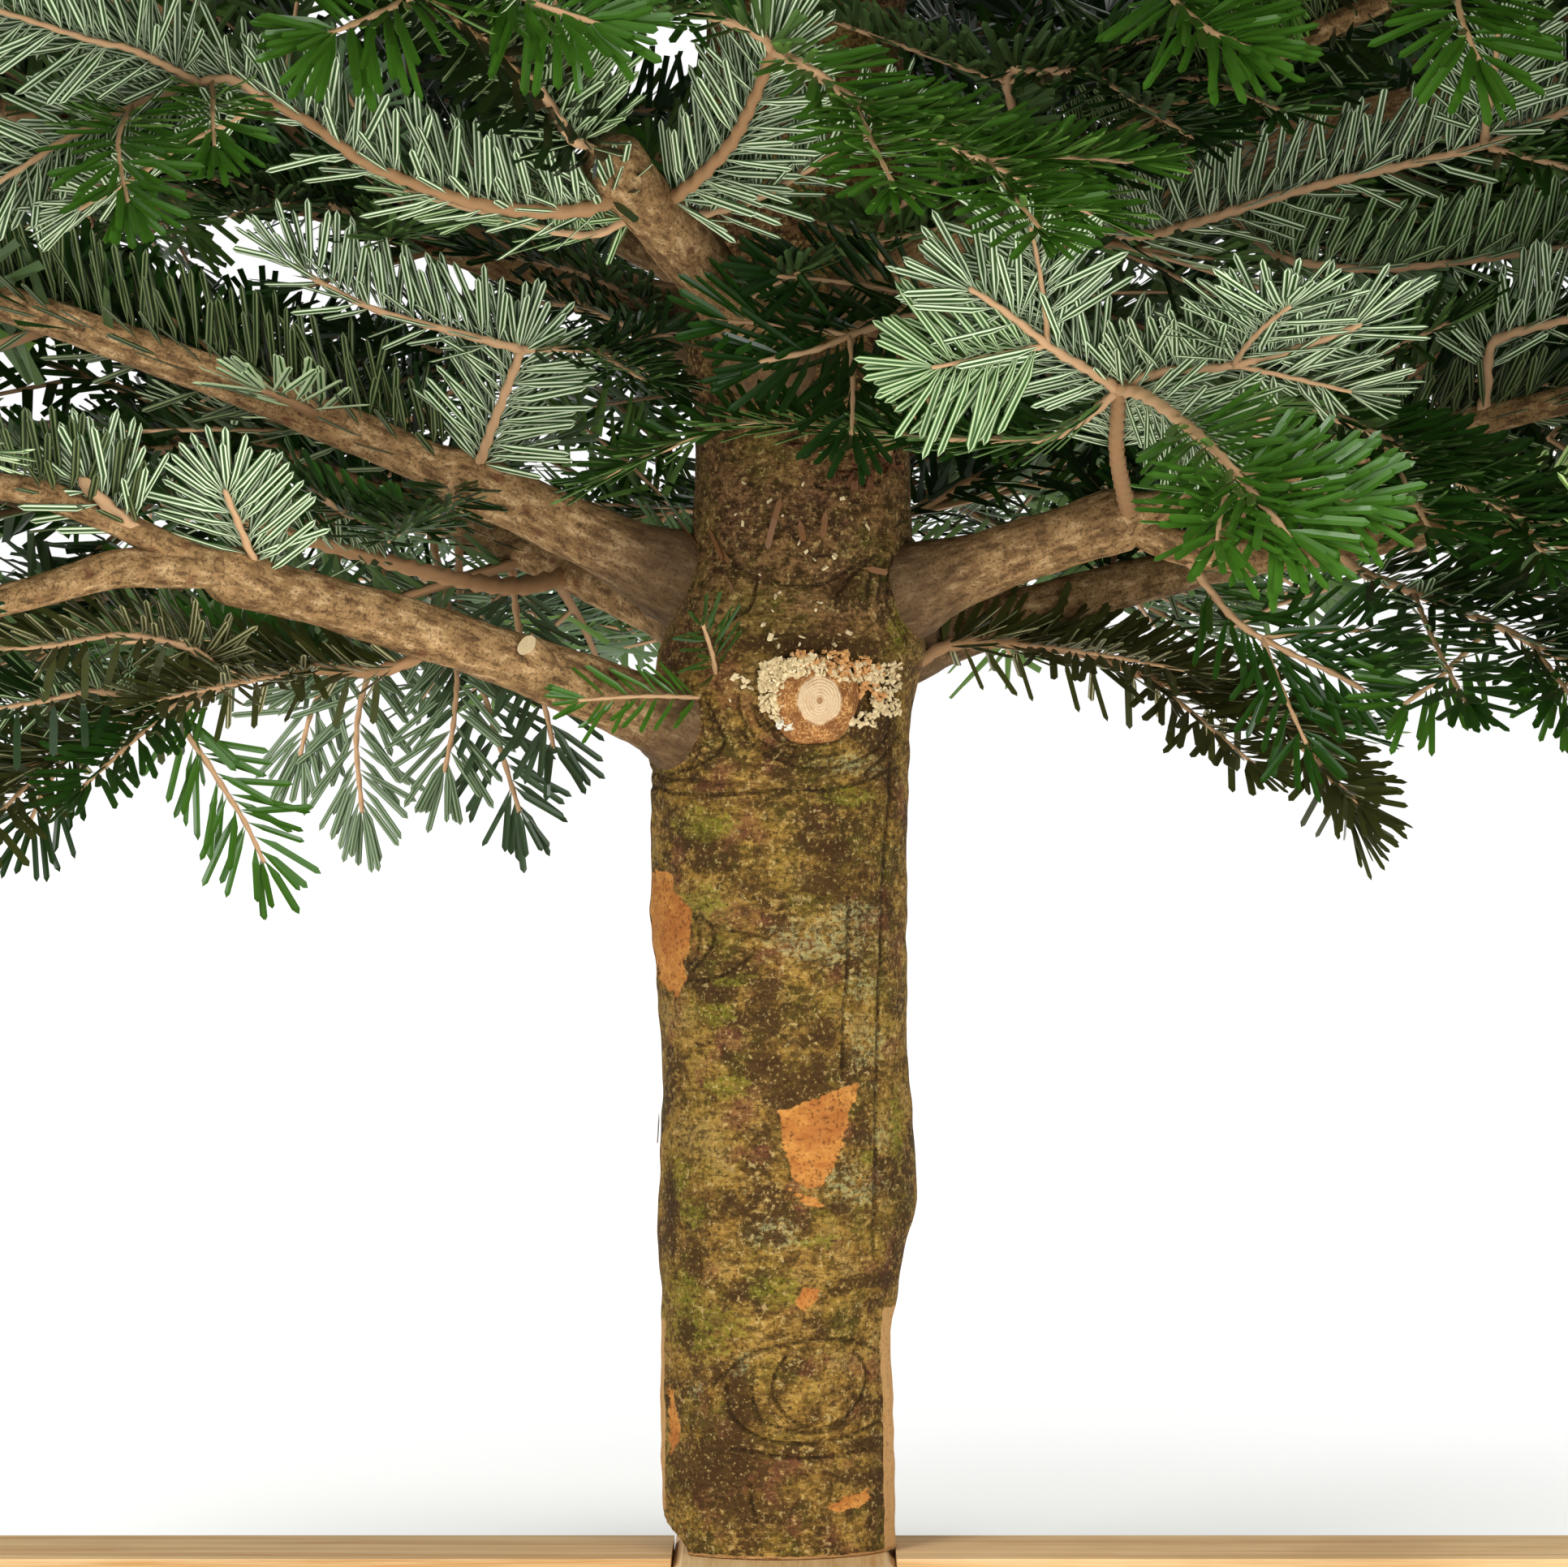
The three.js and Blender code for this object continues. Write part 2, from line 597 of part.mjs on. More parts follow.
function foliageSolid(limb, grownTrunk) {
  const root = limb.bare ? limb.bare + GAP : trunkRadius(limb.height) * ROOT_SUNK;
  const end = limb.reach * (1 - TIP_SPRAY) + STEM_OVERLAP;
  const stemRadius = STEM_RADIUS * (STEM_LEAST + (1 - STEM_LEAST) * limb.reach / WHORLS[0].reach);
  const radiusAt = (along) => {
    return stemRadius + (STEM_TIP_RADIUS - stemRadius) * (along - root) / (end - root);
  };
  let solid = limbSolid(limb, root, end, STEM_SIDES, STEM_STEPS, radiusAt);
  const tipFrame = limbFrame(limb, limb.reach * (1 - TIP_SPRAY));
  const tip = limbPoint(limb, limb.reach);
  const tipShoot = {
    root: tipFrame.point,
    direction: tip.clone().sub(tipFrame.point).normalize(),
    forward: new THREE.Vector3(),
    length: tip.distanceTo(tipFrame.point),
    roll: 0,
  };
  const { teeth } = WHORLS[limb.whorl];
  solid = solid.add(spraySolid(sprayCorners(tipShoot, teeth), teeth));
  for (const shoot of shootsOf(limb)) {
    for (const trim of SHOOT_TRIMS) {
      const trimmed = { ...shoot, length: shoot.length * trim };
      const corners = sprayCorners(trimmed, teeth);
      if (trimmed.length > SHORTEST_SHOOT && corners.every((corner) => inSpace(limb, corner))) {
        solid = solid.add(spraySolid(corners, teeth));
        break;
      }
    }
  }
  return limb.bare ? solid : solid.subtract(grownTrunk);
}

// Leader
function leaderSolid() {
  const foot = CUT_LEVEL + TRUNK_TOP + GAP;
  const top = CUT_LEVEL + LEADER_TIP;
  const axis = leanAt(TRUNK_TOP);
  const height = top - foot;
  let solid = solidOf(tube(LEADER_SIDES, 1, (step, angle, share) => {
    const radius = LEADER_RADIUS * (1 - LEADER_TAPER * step) * share;
    const level = foot + height * step;
    return new THREE.Vector3(axis + radius * cos(angle), radius * sin(angle), level);
  }));
  for (let i = 0; i < LEADER_SHOOTS; i++) {
    const share = LEADER_FROM + (LEADER_TO - LEADER_FROM) * i / (LEADER_SHOOTS - 1);
    const azimuth = i * GOLDEN_TURN;
    const lean = LEADER_ANGLE * DEGREE;
    const direction = new THREE.Vector3(cos(azimuth) * sin(lean), sin(azimuth) * sin(lean), cos(lean));
    const shoot = {
      root: new THREE.Vector3(axis, 0, foot + height * share),
      direction,
      forward: new THREE.Vector3(),
      length: LEADER_SPRAY,
      roll: 0,
    };
    solid = solid.add(spraySolid(sprayCorners(shoot, 2), 2));
  }
  return solid;
}

const group = new THREE.Group();

function addPiece(name, solid, material, place = new THREE.Vector3()) {
  const mesh = new THREE.Mesh(geometryOf(solid), material);
  mesh.name = name;
  mesh.position.copy(place);
  group.add(mesh);
  return mesh;
}

// Wooden cross and its screws
const holes = screwHoles();
const halfHeight = BOARD_THICK / 2;
const lowerLap = lapSolid(halfHeight - GAP / 2, BOARD_THICK + 1);
const upperLap = lapSolid(-1, halfHeight + GAP / 2);
const turnDegrees = CROSS_TURN / DEGREE;
const lowerBoard = boardSolid().subtract(lowerLap).rotate([0, 0, turnDegrees]).subtract(holes);
const upperBoard = boardSolid().subtract(upperLap).rotate([0, 0, turnDegrees + 90]).subtract(holes);
addPiece("stand_board_lower", lowerBoard, sawnBoard);
addPiece("stand_board_upper", upperBoard, sawnBoard);
addPiece("stand_screw_left", screwSolid(0), zincSteel, screwPlace(-1));
addPiece("stand_screw_right", screwSolid(0), zincSteel, screwPlace(1));

// Trunk with its sawn stub
const grownTrunk = trunkSolid(GAP);
addPiece("trunk", trunkSolid(0).add(stubSolid()).subtract(holes), bark);

// Boughs and foliage, whorl by whorl
WHORLS.forEach((whorl, index) => {
  for (const limb of withSectors(limbsOf(whorl, index))) {
    limb.whorl = index;
    limb.axis = leanAt(whorl.height);
    const label = `${index + 1}${limb.name}`;
    if (limb.bare) {
      addPiece(`bough_${label}`, boughSolid(limb, grownTrunk), youngBark);
    }
    addPiece(`foliage_${label}`, foliageSolid(limb, grownTrunk), needles);
  }
});
addPiece("leader", leaderSolid(), needles);

export default group;
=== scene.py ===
"""A cut silver fir of about 1.8 m on a wooden cross, seen from low in front.

The rule of growth works in millimetres, as the solids' source does, and a mesh
gets its metres when it is made. Azimuths turn from +X towards +Y.
"""

import math

import bmesh
import bpy
import numpy as np
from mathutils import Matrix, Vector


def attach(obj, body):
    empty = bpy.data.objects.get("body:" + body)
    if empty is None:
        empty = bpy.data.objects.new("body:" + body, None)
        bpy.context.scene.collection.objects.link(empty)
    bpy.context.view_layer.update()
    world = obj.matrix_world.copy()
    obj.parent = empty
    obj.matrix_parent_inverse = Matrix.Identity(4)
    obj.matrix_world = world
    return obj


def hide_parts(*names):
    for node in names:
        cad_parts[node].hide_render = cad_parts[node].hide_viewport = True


bl_info = {
    "name": "Cut silver fir",
    "version": (1, 0, 0),
    "blender": (4, 5, 0),
    "location": "3D View > Sidebar > Fir",
    "description": "Dresses a cut fir on a wooden cross with bark, boughs, twigs and needles",
    "category": "Object",
}

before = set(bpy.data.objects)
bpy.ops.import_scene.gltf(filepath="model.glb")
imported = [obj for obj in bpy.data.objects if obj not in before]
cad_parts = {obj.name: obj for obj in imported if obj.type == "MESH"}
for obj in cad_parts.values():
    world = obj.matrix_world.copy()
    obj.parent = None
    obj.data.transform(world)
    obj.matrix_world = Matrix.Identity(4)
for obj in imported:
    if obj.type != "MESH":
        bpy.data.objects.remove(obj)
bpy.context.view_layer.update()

MM = 0.001
UP = np.array([0.0, 0.0, 1.0])

# Picture: its middle, millimetres in a pixel at the trunk, and the camera's place
PICTURE_SIZE = (1932, 1931)
PIXEL = 0.25
CAMERA_DISTANCE = 2000.0
VIEW_HEIGHT = 267.2
SENSOR = 36.0

# Trunk, as in the solids: heights are measured from its flat cut
CUT_LEVEL = 32.3
TRUNK_TOP = 1515.0
TRUNK_TOP_RADIUS = 4.6
LOWER_TOP = 340.0
LOWER_PROFILE = [
    (0, 35.2), (39, 35.7), (76, 35.2), (110, 38.2), (151, 36.6), (189, 38.8),
    (226, 38.8), (251, 40), (276, 40.5), (300, 34), (326, 32.6), (LOWER_TOP, 32.6),
]
OVAL_SHARE, OVAL_PHASE = 0.022, 0.7
LOBE_SHARE, LOBE_TWIST = 0.013, 1 / 90
COLLAR_SWELL, COLLAR_HEIGHT = 0.13, 13.0
LEAN_LOW, LEAN_HIGH = 6.0, 12.0
LEAN_FROM, LEAN_TO = 235.0, 320.0
SHAVED_LEFT = (-35.4, 14.0, 68.0)
SHAVED_RIGHT = (34.8, 3.0, 72.0)
# How the shaved faces run in and out of the round trunk
SHAVED_IN, SHAVED_OUT = (-6, 2), (-4, 8)
# How far the bare wood of the shaved faces reaches round to the front
BARE_LEFT, BARE_RIGHT = 0.9, 2.9
CUT_CHAMFER, CHAMFER_TOP = 8.0, 11.0

# Whorls: height, reach, rise at the trunk, droop, pairs of side shoots, teeth, seed
WHORLS = [
    (268, 600, 20.5, 130, 4, 3, 1101),
    (368, 618, 22, 118, 4, 3, 1202),
    (490, 596, 23, 98, 4, 2, 1303),
    (640, 548, 25, 78, 4, 2, 1404),
    (820, 474, 28, 58, 4, 2, 1505),
    (1025, 385, 32, 42, 4, 2, 1606),
    (1250, 285, 37, 28, 3, 2, 1707),
    (1490, 172, 43, 14, 2, 2, 1808),
]
# Boughs of the two lowest whorls: azimuth, sweep, height, rise, droop, radius, bare length
BOUGHS = [
    {
        "a": (211, 9, 238, 21.7, 190, 9.6, 205),
        "b": (187, -6, 280, 27.5, 150, 9.2, 195),
        "c": (128, -6, 266, 20, 118, 8, 165),
        "d": (82, 4, 270, 20, 124, 8.4, 165),
        "e": (345, -8, 281, 20, 122, 9.6, 165),
        "f": (27, 6, 266, 17, 116, 8.2, 165),
    },
    {
        "a": (250, -4, 354, 22, 112, 10.4, 170),
        "b": (309, 5, 371, 22, 118, 9, 150),
        "c": (4, -5, 376, 23, 122, 8.4, 155),
        "d": (63, 4, 368, 22, 118, 8, 150),
        "e": (122, 3, 372, 22, 118, 8, 150),
        "f": (160, 4, 362, 22, 110, 8.6, 155),
    },
]
# Upper whorls: number of limbs and the azimuth of the first
UPPER_LIMBS = [(6, 282), (6, 247), (5, 276), (5, 239), (4, 262), (4, 222)]
LETTERS = "abcdef"
AZIMUTH_JITTER, UPPER_SWEEP, REACH_LEAST = 6.0, 5.0, 0.95
BOUGH_TAPER, TAPER_POWER = 0.62, 0.8
ROOT_FLARE, ROOT_FLARE_LENGTH = 0.55, 16.0
# Radius of an upper limb, and its shares that are fixed and that go with the reach
UPPER_LIMB_RADIUS, UPPER_FIXED, UPPER_BY_REACH = 6.4, 0.45, 0.55
# Where a low bough forks: distance from the axis, and how thick it goes on
FORKS = {"1a": (196, 0.6), "1b": (103, 0.84), "1e": (107, 0.62), "2a": (162, 0.22), "2b": (80, 0.5)}
# Swelling before a fork: its share, how far back, and how long; and where the bough thins
FORK_SWELL, FORK_BACK, FORK_SWELL_LENGTH, FORK_THINS = 0.16, 5.0, 8.0, (-3, 9)
# Bough a of the lowest whorl lifts beyond its fork: height, and where it starts and ends
FORK_LIFT = {"1a": (13, 180, 262, 340, 470)}

# Space of each limb's foliage, as in the solids
LAYER_MARGIN, SECTOR_MARGIN, REACH_MARGIN = 2.0, 2.5, 4.0
SECTOR_MOST = 44.0
LOWEST_HANG = 128.0
SWELL_HEIGHT, SWELL_REACH = 34.0, 240.0
SWELL_AZIMUTH, SWELL_WIDTH = math.radians(186), math.radians(26)
LEADER_CONE_HEIGHT, LEADER_CONE_SLOPE = 52.0, 0.86

# Side shoots, as in the solids
FIRST_SHOOT, FIRST_UPPER_SHOOT, LAST_SHOOT, TIP_SPRAY = 14.0, 34.0, 0.86, 0.19
SHOOT_ANGLE, SHOOT_LIFT, SHOOT_ROLL = (46, 57), (3, 13), (-48, 48)
LIFT_PER_WHORL, LOWEST_DROP, SHOOT_JITTER = 2.2, 16.0, 0.3
SHOOT_SPREAD, SHOOT_REACH, SHOOT_SPARE = 1.16, 0.76, 24.0
SHOOT_LENGTHS, SHOOT_TRIMS = (0.9, 1.08), (1, 0.82, 0.66, 0.5)
SHOOT_FORWARD, SHOOT_SAG, SHORTEST_SHOOT = 0.13, 0.07, 50.0
SPRAY_WIDTH, SPRAY_WIDTH_SPARE, SPRAY_NECK, SPRAY_NECK_WIDTH = 0.135, 9.0, 13.0, 2.4
VALLEY, TOOTH_FORWARD, LAST_TOOTH, LAST_TOOTH_WIDTH = 0.36, 0.3, 0.93, 0.62
# A limb's tip: sprays that its shoot is long, its points, and where its way up is taken
TIP_SPRAYS, TIP_POINTS, TIP_FACING = 2.4, 12, 0.9

# Leader
LEADER_TIP, LEADER_FOOT = 1780.0, 6.0
LEADER_THICK, LEADER_SHOOT_THICK, LEADER_BARE = (3.6, 1.6), (1.5, 0.8), 0.05
LEADER_SHOOTS, LEADER_FROM, LEADER_TO = 6, 0.16, 0.74
LEADER_ANGLE, LEADER_SPRAY, GOLDEN_TURN = 36.0, 74.0, 137.5


class Dice:
    """Seeded random numbers, the same as in the solids' source."""

    def __init__(self, seed):
        self.state = seed

    def next(self):
        self.state = self.state * 16807 % 2147483647
        return self.state / 2147483647

    def between(self, low, high):
        return low + (high - low) * self.next()


def unit(vector):
    return vector / np.maximum(np.linalg.norm(vector, axis=-1, keepdims=True), 1e-9)


def upright(way, along):
    """A way, turned square to the lines along which it stands."""
    return unit(way - along * np.sum(along * way, axis=-1, keepdims=True))


def smooth_step(value, start, end):
    share = np.clip((value - start) / (end - start), 0, 1)
    return share * share * (3 - 2 * share)


def seen(px, py, depth):
    """The place at a depth behind the trunk's axis that the picture shows at a pixel."""
    size = PIXEL * (CAMERA_DISTANCE + depth) / CAMERA_DISTANCE
    return np.array([
        (px - PICTURE_SIZE[0] / 2) * size,
        depth,
        VIEW_HEIGHT - (py - PICTURE_SIZE[1] / 2) * size,
    ])


def pixel_of(points):
    """The picture's pixels at which points show."""
    size = PIXEL * (CAMERA_DISTANCE + points[:, 1]) / CAMERA_DISTANCE
    px = PICTURE_SIZE[0] / 2 + points[:, 0] / size
    py = PICTURE_SIZE[1] / 2 - (points[:, 2] - VIEW_HEIGHT) / size
    return px, py


# Trunk
def lean_at(height):
    low = LEAN_LOW * smooth_step(height, LEAN_FROM, LEAN_TO)
    rise = np.maximum(0, height - LEAN_TO) / (TRUNK_TOP - LEAN_TO)
    return low + (LEAN_HIGH - LEAN_LOW) * rise


def trunk_radius(height):
    levels, radii = zip(*LOWER_PROFILE)
    lower = np.interp(height, levels, radii)
    share = np.clip((height - LOWER_TOP) / (TRUNK_TOP - LOWER_TOP), 0, 1)
    plain = radii[-1] + (TRUNK_TOP_RADIUS - radii[-1]) * share
    swell = sum(np.exp(-(((height - whorl[0]) / COLLAR_HEIGHT) ** 2)) for whorl in WHORLS)
    return np.where(np.asarray(height) <= LOWER_TOP, lower, plain * (1 + COLLAR_SWELL * swell))


def trunk_points(height, angle, grown):
    oval = OVAL_SHARE * np.sin(2 * angle + OVAL_PHASE)
    lobes = LOBE_SHARE * np.sin(3 * angle + LOBE_TWIST * height)
    radius = trunk_radius(height) * (1 + oval + lobes) + grown
    x = radius * np.cos(angle)
    for face, start, end in (SHAVED_LEFT, SHAVED_RIGHT):
        edge = smooth_step(height, start + SHAVED_IN[0], start + SHAVED_IN[1])
        edge = edge * (1 - smooth_step(height, end + SHAVED_OUT[0], end + SHAVED_OUT[1]))
        flat = np.maximum(x, face) if face < 0 else np.minimum(x, face)
        x = x + (flat - x) * edge
    chamfer = CUT_CHAMFER * (1 - smooth_step(height, 0, CHAMFER_TOP))
    x = np.where(height < CHAMFER_TOP, np.maximum(x, -trunk_radius(0) + chamfer), x)
    middle, widening = fitted_edges(height)
    return np.stack([middle + x * widening, radius * np.sin(angle), CUT_LEVEL + height], axis=-1)


# Rows of the picture, and the trunk's left and right edge in each
TRUNK_EDGES = [
    (920, 802, 1118), (960, 803, 1115), (1000, 804, 1115), (1080, 804, 1114), (1120, 802, 1114),
    (1160, 805, 1113), (1200, 809, 1113), (1240, 811, 1113), (1280, 816, 1114), (1320, 817, 1116),
    (1360, 816, 1119), (1400, 814, 1122), (1440, 813, 1124), (1480, 811, 1125), (1500, 811, 1122),
    (1520, 811, 1116), (1560, 814, 1107), (1600, 816, 1102), (1640, 815, 1099), (1680, 814, 1100),
    (1720, 813, 1103), (1800, 815, 1105), (1860, 817, 1104),
]
FITTED_BELOW = (246, 280)


def fitted_edges(height):
    """Where the trunk's middle is at a height, and how much wider it is than its profile."""
    rows, left, right = zip(*TRUNK_EDGES)
    row = PICTURE_SIZE[1] / 2 - (CUT_LEVEL + height - VIEW_HEIGHT) / PIXEL
    left, right = np.interp(row, rows, left), np.interp(row, rows, right)
    share = 1 - smooth_step(height, *FITTED_BELOW)
    middle = (left + right - PICTURE_SIZE[0]) / 2 * PIXEL
    widening = (right - left) / 2 * PIXEL / trunk_radius(height)
    return lean_at(height) * (1 - share) + middle * share, 1 + share * (widening - 1)


# Crown: limb lines and the space of each limb's foliage
class Limb:
    """A limb of a whorl, which bends along its own line."""

    def __init__(self, whorl, name, azimuth, sweep, height, rise, droop, reach, radius, bare):
        self.whorl, self.name, self.azimuth, self.sweep = whorl, name, azimuth, sweep
        self.height, self.rise, self.droop, self.reach = height, rise, droop, reach
        self.radius, self.bare = radius, bare
        self.label = f"{whorl + 1}{name}"
        self.axis = float(lean_at(WHORLS[whorl][0]))
        self.left = self.right = azimuth

    def point(self, radius):
        radius = np.asarray(radius, dtype=float)
        share = radius / self.reach
        azimuth = np.radians(self.azimuth + self.sweep * share * share)
        rise = math.tan(math.radians(self.rise)) * radius - self.droop * share * share
        if self.label in FORK_LIFT:
            lift, start, full, fall, end = FORK_LIFT[self.label]
            lift = lift * smooth_step(radius, start, full)
            rise = rise + lift * (1 - smooth_step(radius, fall, end))
        x, y = self.axis + radius * np.cos(azimuth), radius * np.sin(azimuth)
        return np.stack([x, y, CUT_LEVEL + self.height + rise], axis=-1)

    def frame(self, radius):
        along = unit(self.point(radius + 1) - self.point(radius - 1))
        side = unit(np.cross(along, UP))
        return self.point(radius), along, side, np.cross(side, along)

    def thickness(self, along):
        root = float(trunk_radius(self.height))
        share = np.maximum(0, (along - root) / (self.reach - root))
        flare = np.exp(-np.maximum(0, along - root) / ROOT_FLARE_LENGTH)
        size = self.radius * (1 - BOUGH_TAPER * share ** TAPER_POWER) * (1 + ROOT_FLARE * flare)
        if self.label in FORKS:
            fork, kept = FORKS[self.label]
            off = (along - fork + FORK_BACK) / FORK_SWELL_LENGTH
            size = size * (1 + FORK_SWELL * np.exp(-(off ** 2)))
            start, end = (fork + shift for shift in FORK_THINS)
            size = size * (1 - (1 - kept) * smooth_step(along, start, end))
        return size


def turn_between(start, end):
    return (end - start) % 360


def whorl_limbs(index):
    height, reach, rise, droop, _, _, seed = WHORLS[index]
    if index < len(BOUGHS):
        limbs = [
            Limb(index, name, *line, reach, radius, bare)
            for name, (*line, radius, bare) in BOUGHS[index].items()
        ]
    else:
        count, first = UPPER_LIMBS[index - len(BOUGHS)]
        dice = Dice(seed)
        limbs = []
        for i in range(count):
            azimuth = first + 360 / count * i + dice.between(-AZIMUTH_JITTER, AZIMUTH_JITTER)
            sweep = dice.between(-UPPER_SWEEP, UPPER_SWEEP)
            own_reach = reach * dice.between(REACH_LEAST, 1)
            share = UPPER_FIXED + UPPER_BY_REACH * own_reach / WHORLS[0][1]
            line = (azimuth, sweep, height, rise, droop, own_reach, UPPER_LIMB_RADIUS * share)
            limbs.append(Limb(index, LETTERS[i], *line, 0))
    ordered = sorted(limbs, key=lambda limb: turn_between(0, limb.azimuth))
    for i, limb in enumerate(ordered):
        before, after = ordered[i - 1], ordered[(i + 1) % len(ordered)]
        limb.left = limb.azimuth + min(turn_between(limb.azimuth, after.azimuth) / 2, SECTOR_MOST)
        limb.right = limb.azimuth - min(turn_between(before.azimuth, limb.azimuth) / 2, SECTOR_MOST)
    return limbs


def layer_middle(index, radius):
    height, reach, rise, droop = WHORLS[index][:4]
    risen = CUT_LEVEL + height + math.tan(math.radians(rise)) * radius
    return risen - droop * (radius / reach) ** 2


def layer_bound(index, radius, azimuth):
    if index < 0:
        return layer_middle(0, radius) - LOWEST_HANG
    if index == len(WHORLS) - 1:
        return CUT_LEVEL + WHORLS[index][0] + LEADER_CONE_HEIGHT + LEADER_CONE_SLOPE * radius
    middle = (layer_middle(index, radius) + layer_middle(index + 1, radius)) / 2
    turn = azimuth - SWELL_AZIMUTH
    off = np.arctan2(np.sin(turn), np.cos(turn)) / SWELL_WIDTH
    swell = SWELL_HEIGHT * np.exp(-off * off) * np.minimum(1, radius / SWELL_REACH)
    return middle + swell / (1 + index) ** 2


def in_space(limb, points):
    x, y, z = points[:, 0] - limb.axis, points[:, 1], points[:, 2]
    radius, azimuth = np.hypot(x, y), np.arctan2(y, x)
    left_room = radius * np.sin(math.radians(limb.left) - azimuth)
    right_room = radius * np.sin(azimuth - math.radians(limb.right))
    spread, there = np.hypot(points[:, 0], y), np.arctan2(y, points[:, 0])
    floor = layer_bound(limb.whorl - 1, spread, there) + LAYER_MARGIN
    ceiling = layer_bound(limb.whorl, spread, there) - LAYER_MARGIN
    inside = (left_room >= SECTOR_MARGIN) & (right_room >= SECTOR_MARGIN)
    inside &= (z > floor) & (z < ceiling) & (radius < limb.reach + REACH_MARGIN)
    return bool(np.all(inside))


# Twigs
class Twig:
    """A line of points, the way that its needles' upper sides face, and its looks."""

    def __init__(
        self, points, up, thick, tint, bare=0.0, size=1.0, detail=0, style="flat", wood=True
    ):
        self.points = np.asarray(points, dtype=float)
        self.up = unit(np.asarray(up, dtype=float))
        self.thick, self.tint, self.bare = thick, tint, bare
        self.size, self.detail, self.style, self.wood = size, detail, style, wood
        steps = np.linalg.norm(np.diff(self.points, axis=0), axis=1)
        self.marks = np.concatenate([[0], np.cumsum(steps)])
        self.length = float(self.marks[-1])

    def at(self, share):
        """Places and directions at shares of the length."""
        share = np.atleast_1d(share)
        return self._place(share), unit(self._place(share + 0.02) - self._place(share - 0.02))

    def _place(self, share):
        mark = np.clip(share, 0, 1) * self.length
        return np.stack([np.interp(mark, self.marks, self.points[:, i]) for i in range(3)], axis=-1)


def curve_through(points, steps):
    """A smooth line through a few points."""
    points = np.asarray(points, dtype=float)
    ends = np.concatenate([[2 * points[0] - points[1]], points, [2 * points[-1] - points[-2]]])
    line = []
    for i in range(len(points) - 1):
        a, b, c, d = ends[i : i + 4]
        share = np.linspace(0, 1, steps, endpoint=False)[:, None]
        square, cube = 2 * a - 5 * b + 4 * c - d, 3 * (b - c) + d - a
        line.append(b + 0.5 * share * (c - a + share * (square + share * cube)))
    return np.concatenate(line + [points[-1:]])


SHOOT_SHARES = np.linspace(0, 1, 9)[:, None]


def shoot_line(root, direction, forward, length):
    """A shoot's line, which bends towards its parent's tip and sags."""
    bend = SHOOT_SHARES ** 2 * length
    straight = root + SHOOT_SHARES * length * direction
    return straight + SHOOT_FORWARD * bend * forward - SHOOT_SAG * bend * UP


def spray_corners(root, direction, forward, length, across, teeth):
    """Corners of the solids' spray, which settle how long a shoot may be."""
    width = SPRAY_WIDTH * length + SPRAY_WIDTH_SPARE
    neck = SPRAY_NECK / length
    corners = [root]
    for tooth in range(teeth):
        share = max(neck, tooth / teeth)
        tip_share = min(LAST_TOOTH, (tooth + 1 + TOOTH_FORWARD) / teeth)
        tip_width = width * (LAST_TOOTH_WIDTH if tooth == teeth - 1 else 1)
        valley = SPRAY_NECK_WIDTH if tooth == 0 else VALLEY * width
        for place, half in ((share, valley), (tip_share, tip_width)):
            bend = place * place * length
            middle = root + place * length * direction + SHOOT_FORWARD * bend * forward
            middle = middle - SHOOT_SAG * bend * UP
            corners += [middle + half * across, middle - half * across]
    corners.append(root + length * direction + length * (SHOOT_FORWARD * forward - SHOOT_SAG * UP))
    return np.array(corners)


def aimed(limb, radius, hand, angle, lifted, roll):
    """Where a shoot starts, its limb's way there, and its own way and breadth."""
    root, along, side, over = limb.frame(radius)
    flat = along * math.cos(angle) + side * hand * math.sin(angle)
    direction = flat * math.cos(lifted) + over * math.sin(lifted)
    across = unit(np.cross(direction, UP))
    across = across * math.cos(roll) + np.cross(direction, across) * math.sin(roll)
    return root, along, direction, across


def main_shoots(limb):
    """The side shoots of a limb, as long as the solids' sprays, and its tip."""
    pairs, teeth, seed = WHORLS[limb.whorl][4:7]
    dice = Dice(seed * 7 + LETTERS.index(limb.name) * 101)
    drop = LOWEST_DROP if limb.whorl == 0 else 0
    if limb.bare:
        first = limb.bare + FIRST_SHOOT
    else:
        first = float(trunk_radius(limb.height)) + FIRST_UPPER_SHOOT
    step = (limb.reach * LAST_SHOOT - first) / pairs
    made = []
    for pair in range(pairs):
        for hand in (-1, 1):
            radius = first + step * (pair + SHOOT_JITTER * dice.next())
            angle = math.radians(dice.between(*SHOOT_ANGLE))
            tilt = dice.between(*SHOOT_LIFT) + LIFT_PER_WHORL * limb.whorl
            lifted = math.radians(tilt if pair % 2 else -tilt - drop)
            roll = math.radians(dice.between(*SHOOT_ROLL))
            spread = min(SHOOT_SPREAD * radius, SHOOT_REACH * (limb.reach - radius) + SHOOT_SPARE)
            length = spread * dice.between(*SHOOT_LENGTHS)
            root, along, direction, across = aimed(limb, radius, hand, angle, lifted, roll)
            for trim in SHOOT_TRIMS:
                corners = spray_corners(root, direction, along, length * trim, across, teeth)
                if length * trim > SHORTEST_SHOOT and in_space(limb, corners):
                    line = shoot_line(root, direction, along, length * trim)
                    made.append((line, np.cross(across, direction)))
                    break
    tip_start = limb.reach * (1 - TIP_SPRAYS * TIP_SPRAY)
    tip_line = limb.point(np.linspace(tip_start, limb.reach, TIP_POINTS))
    made.append((tip_line, limb.frame(limb.reach * TIP_FACING)[3]))
    return made


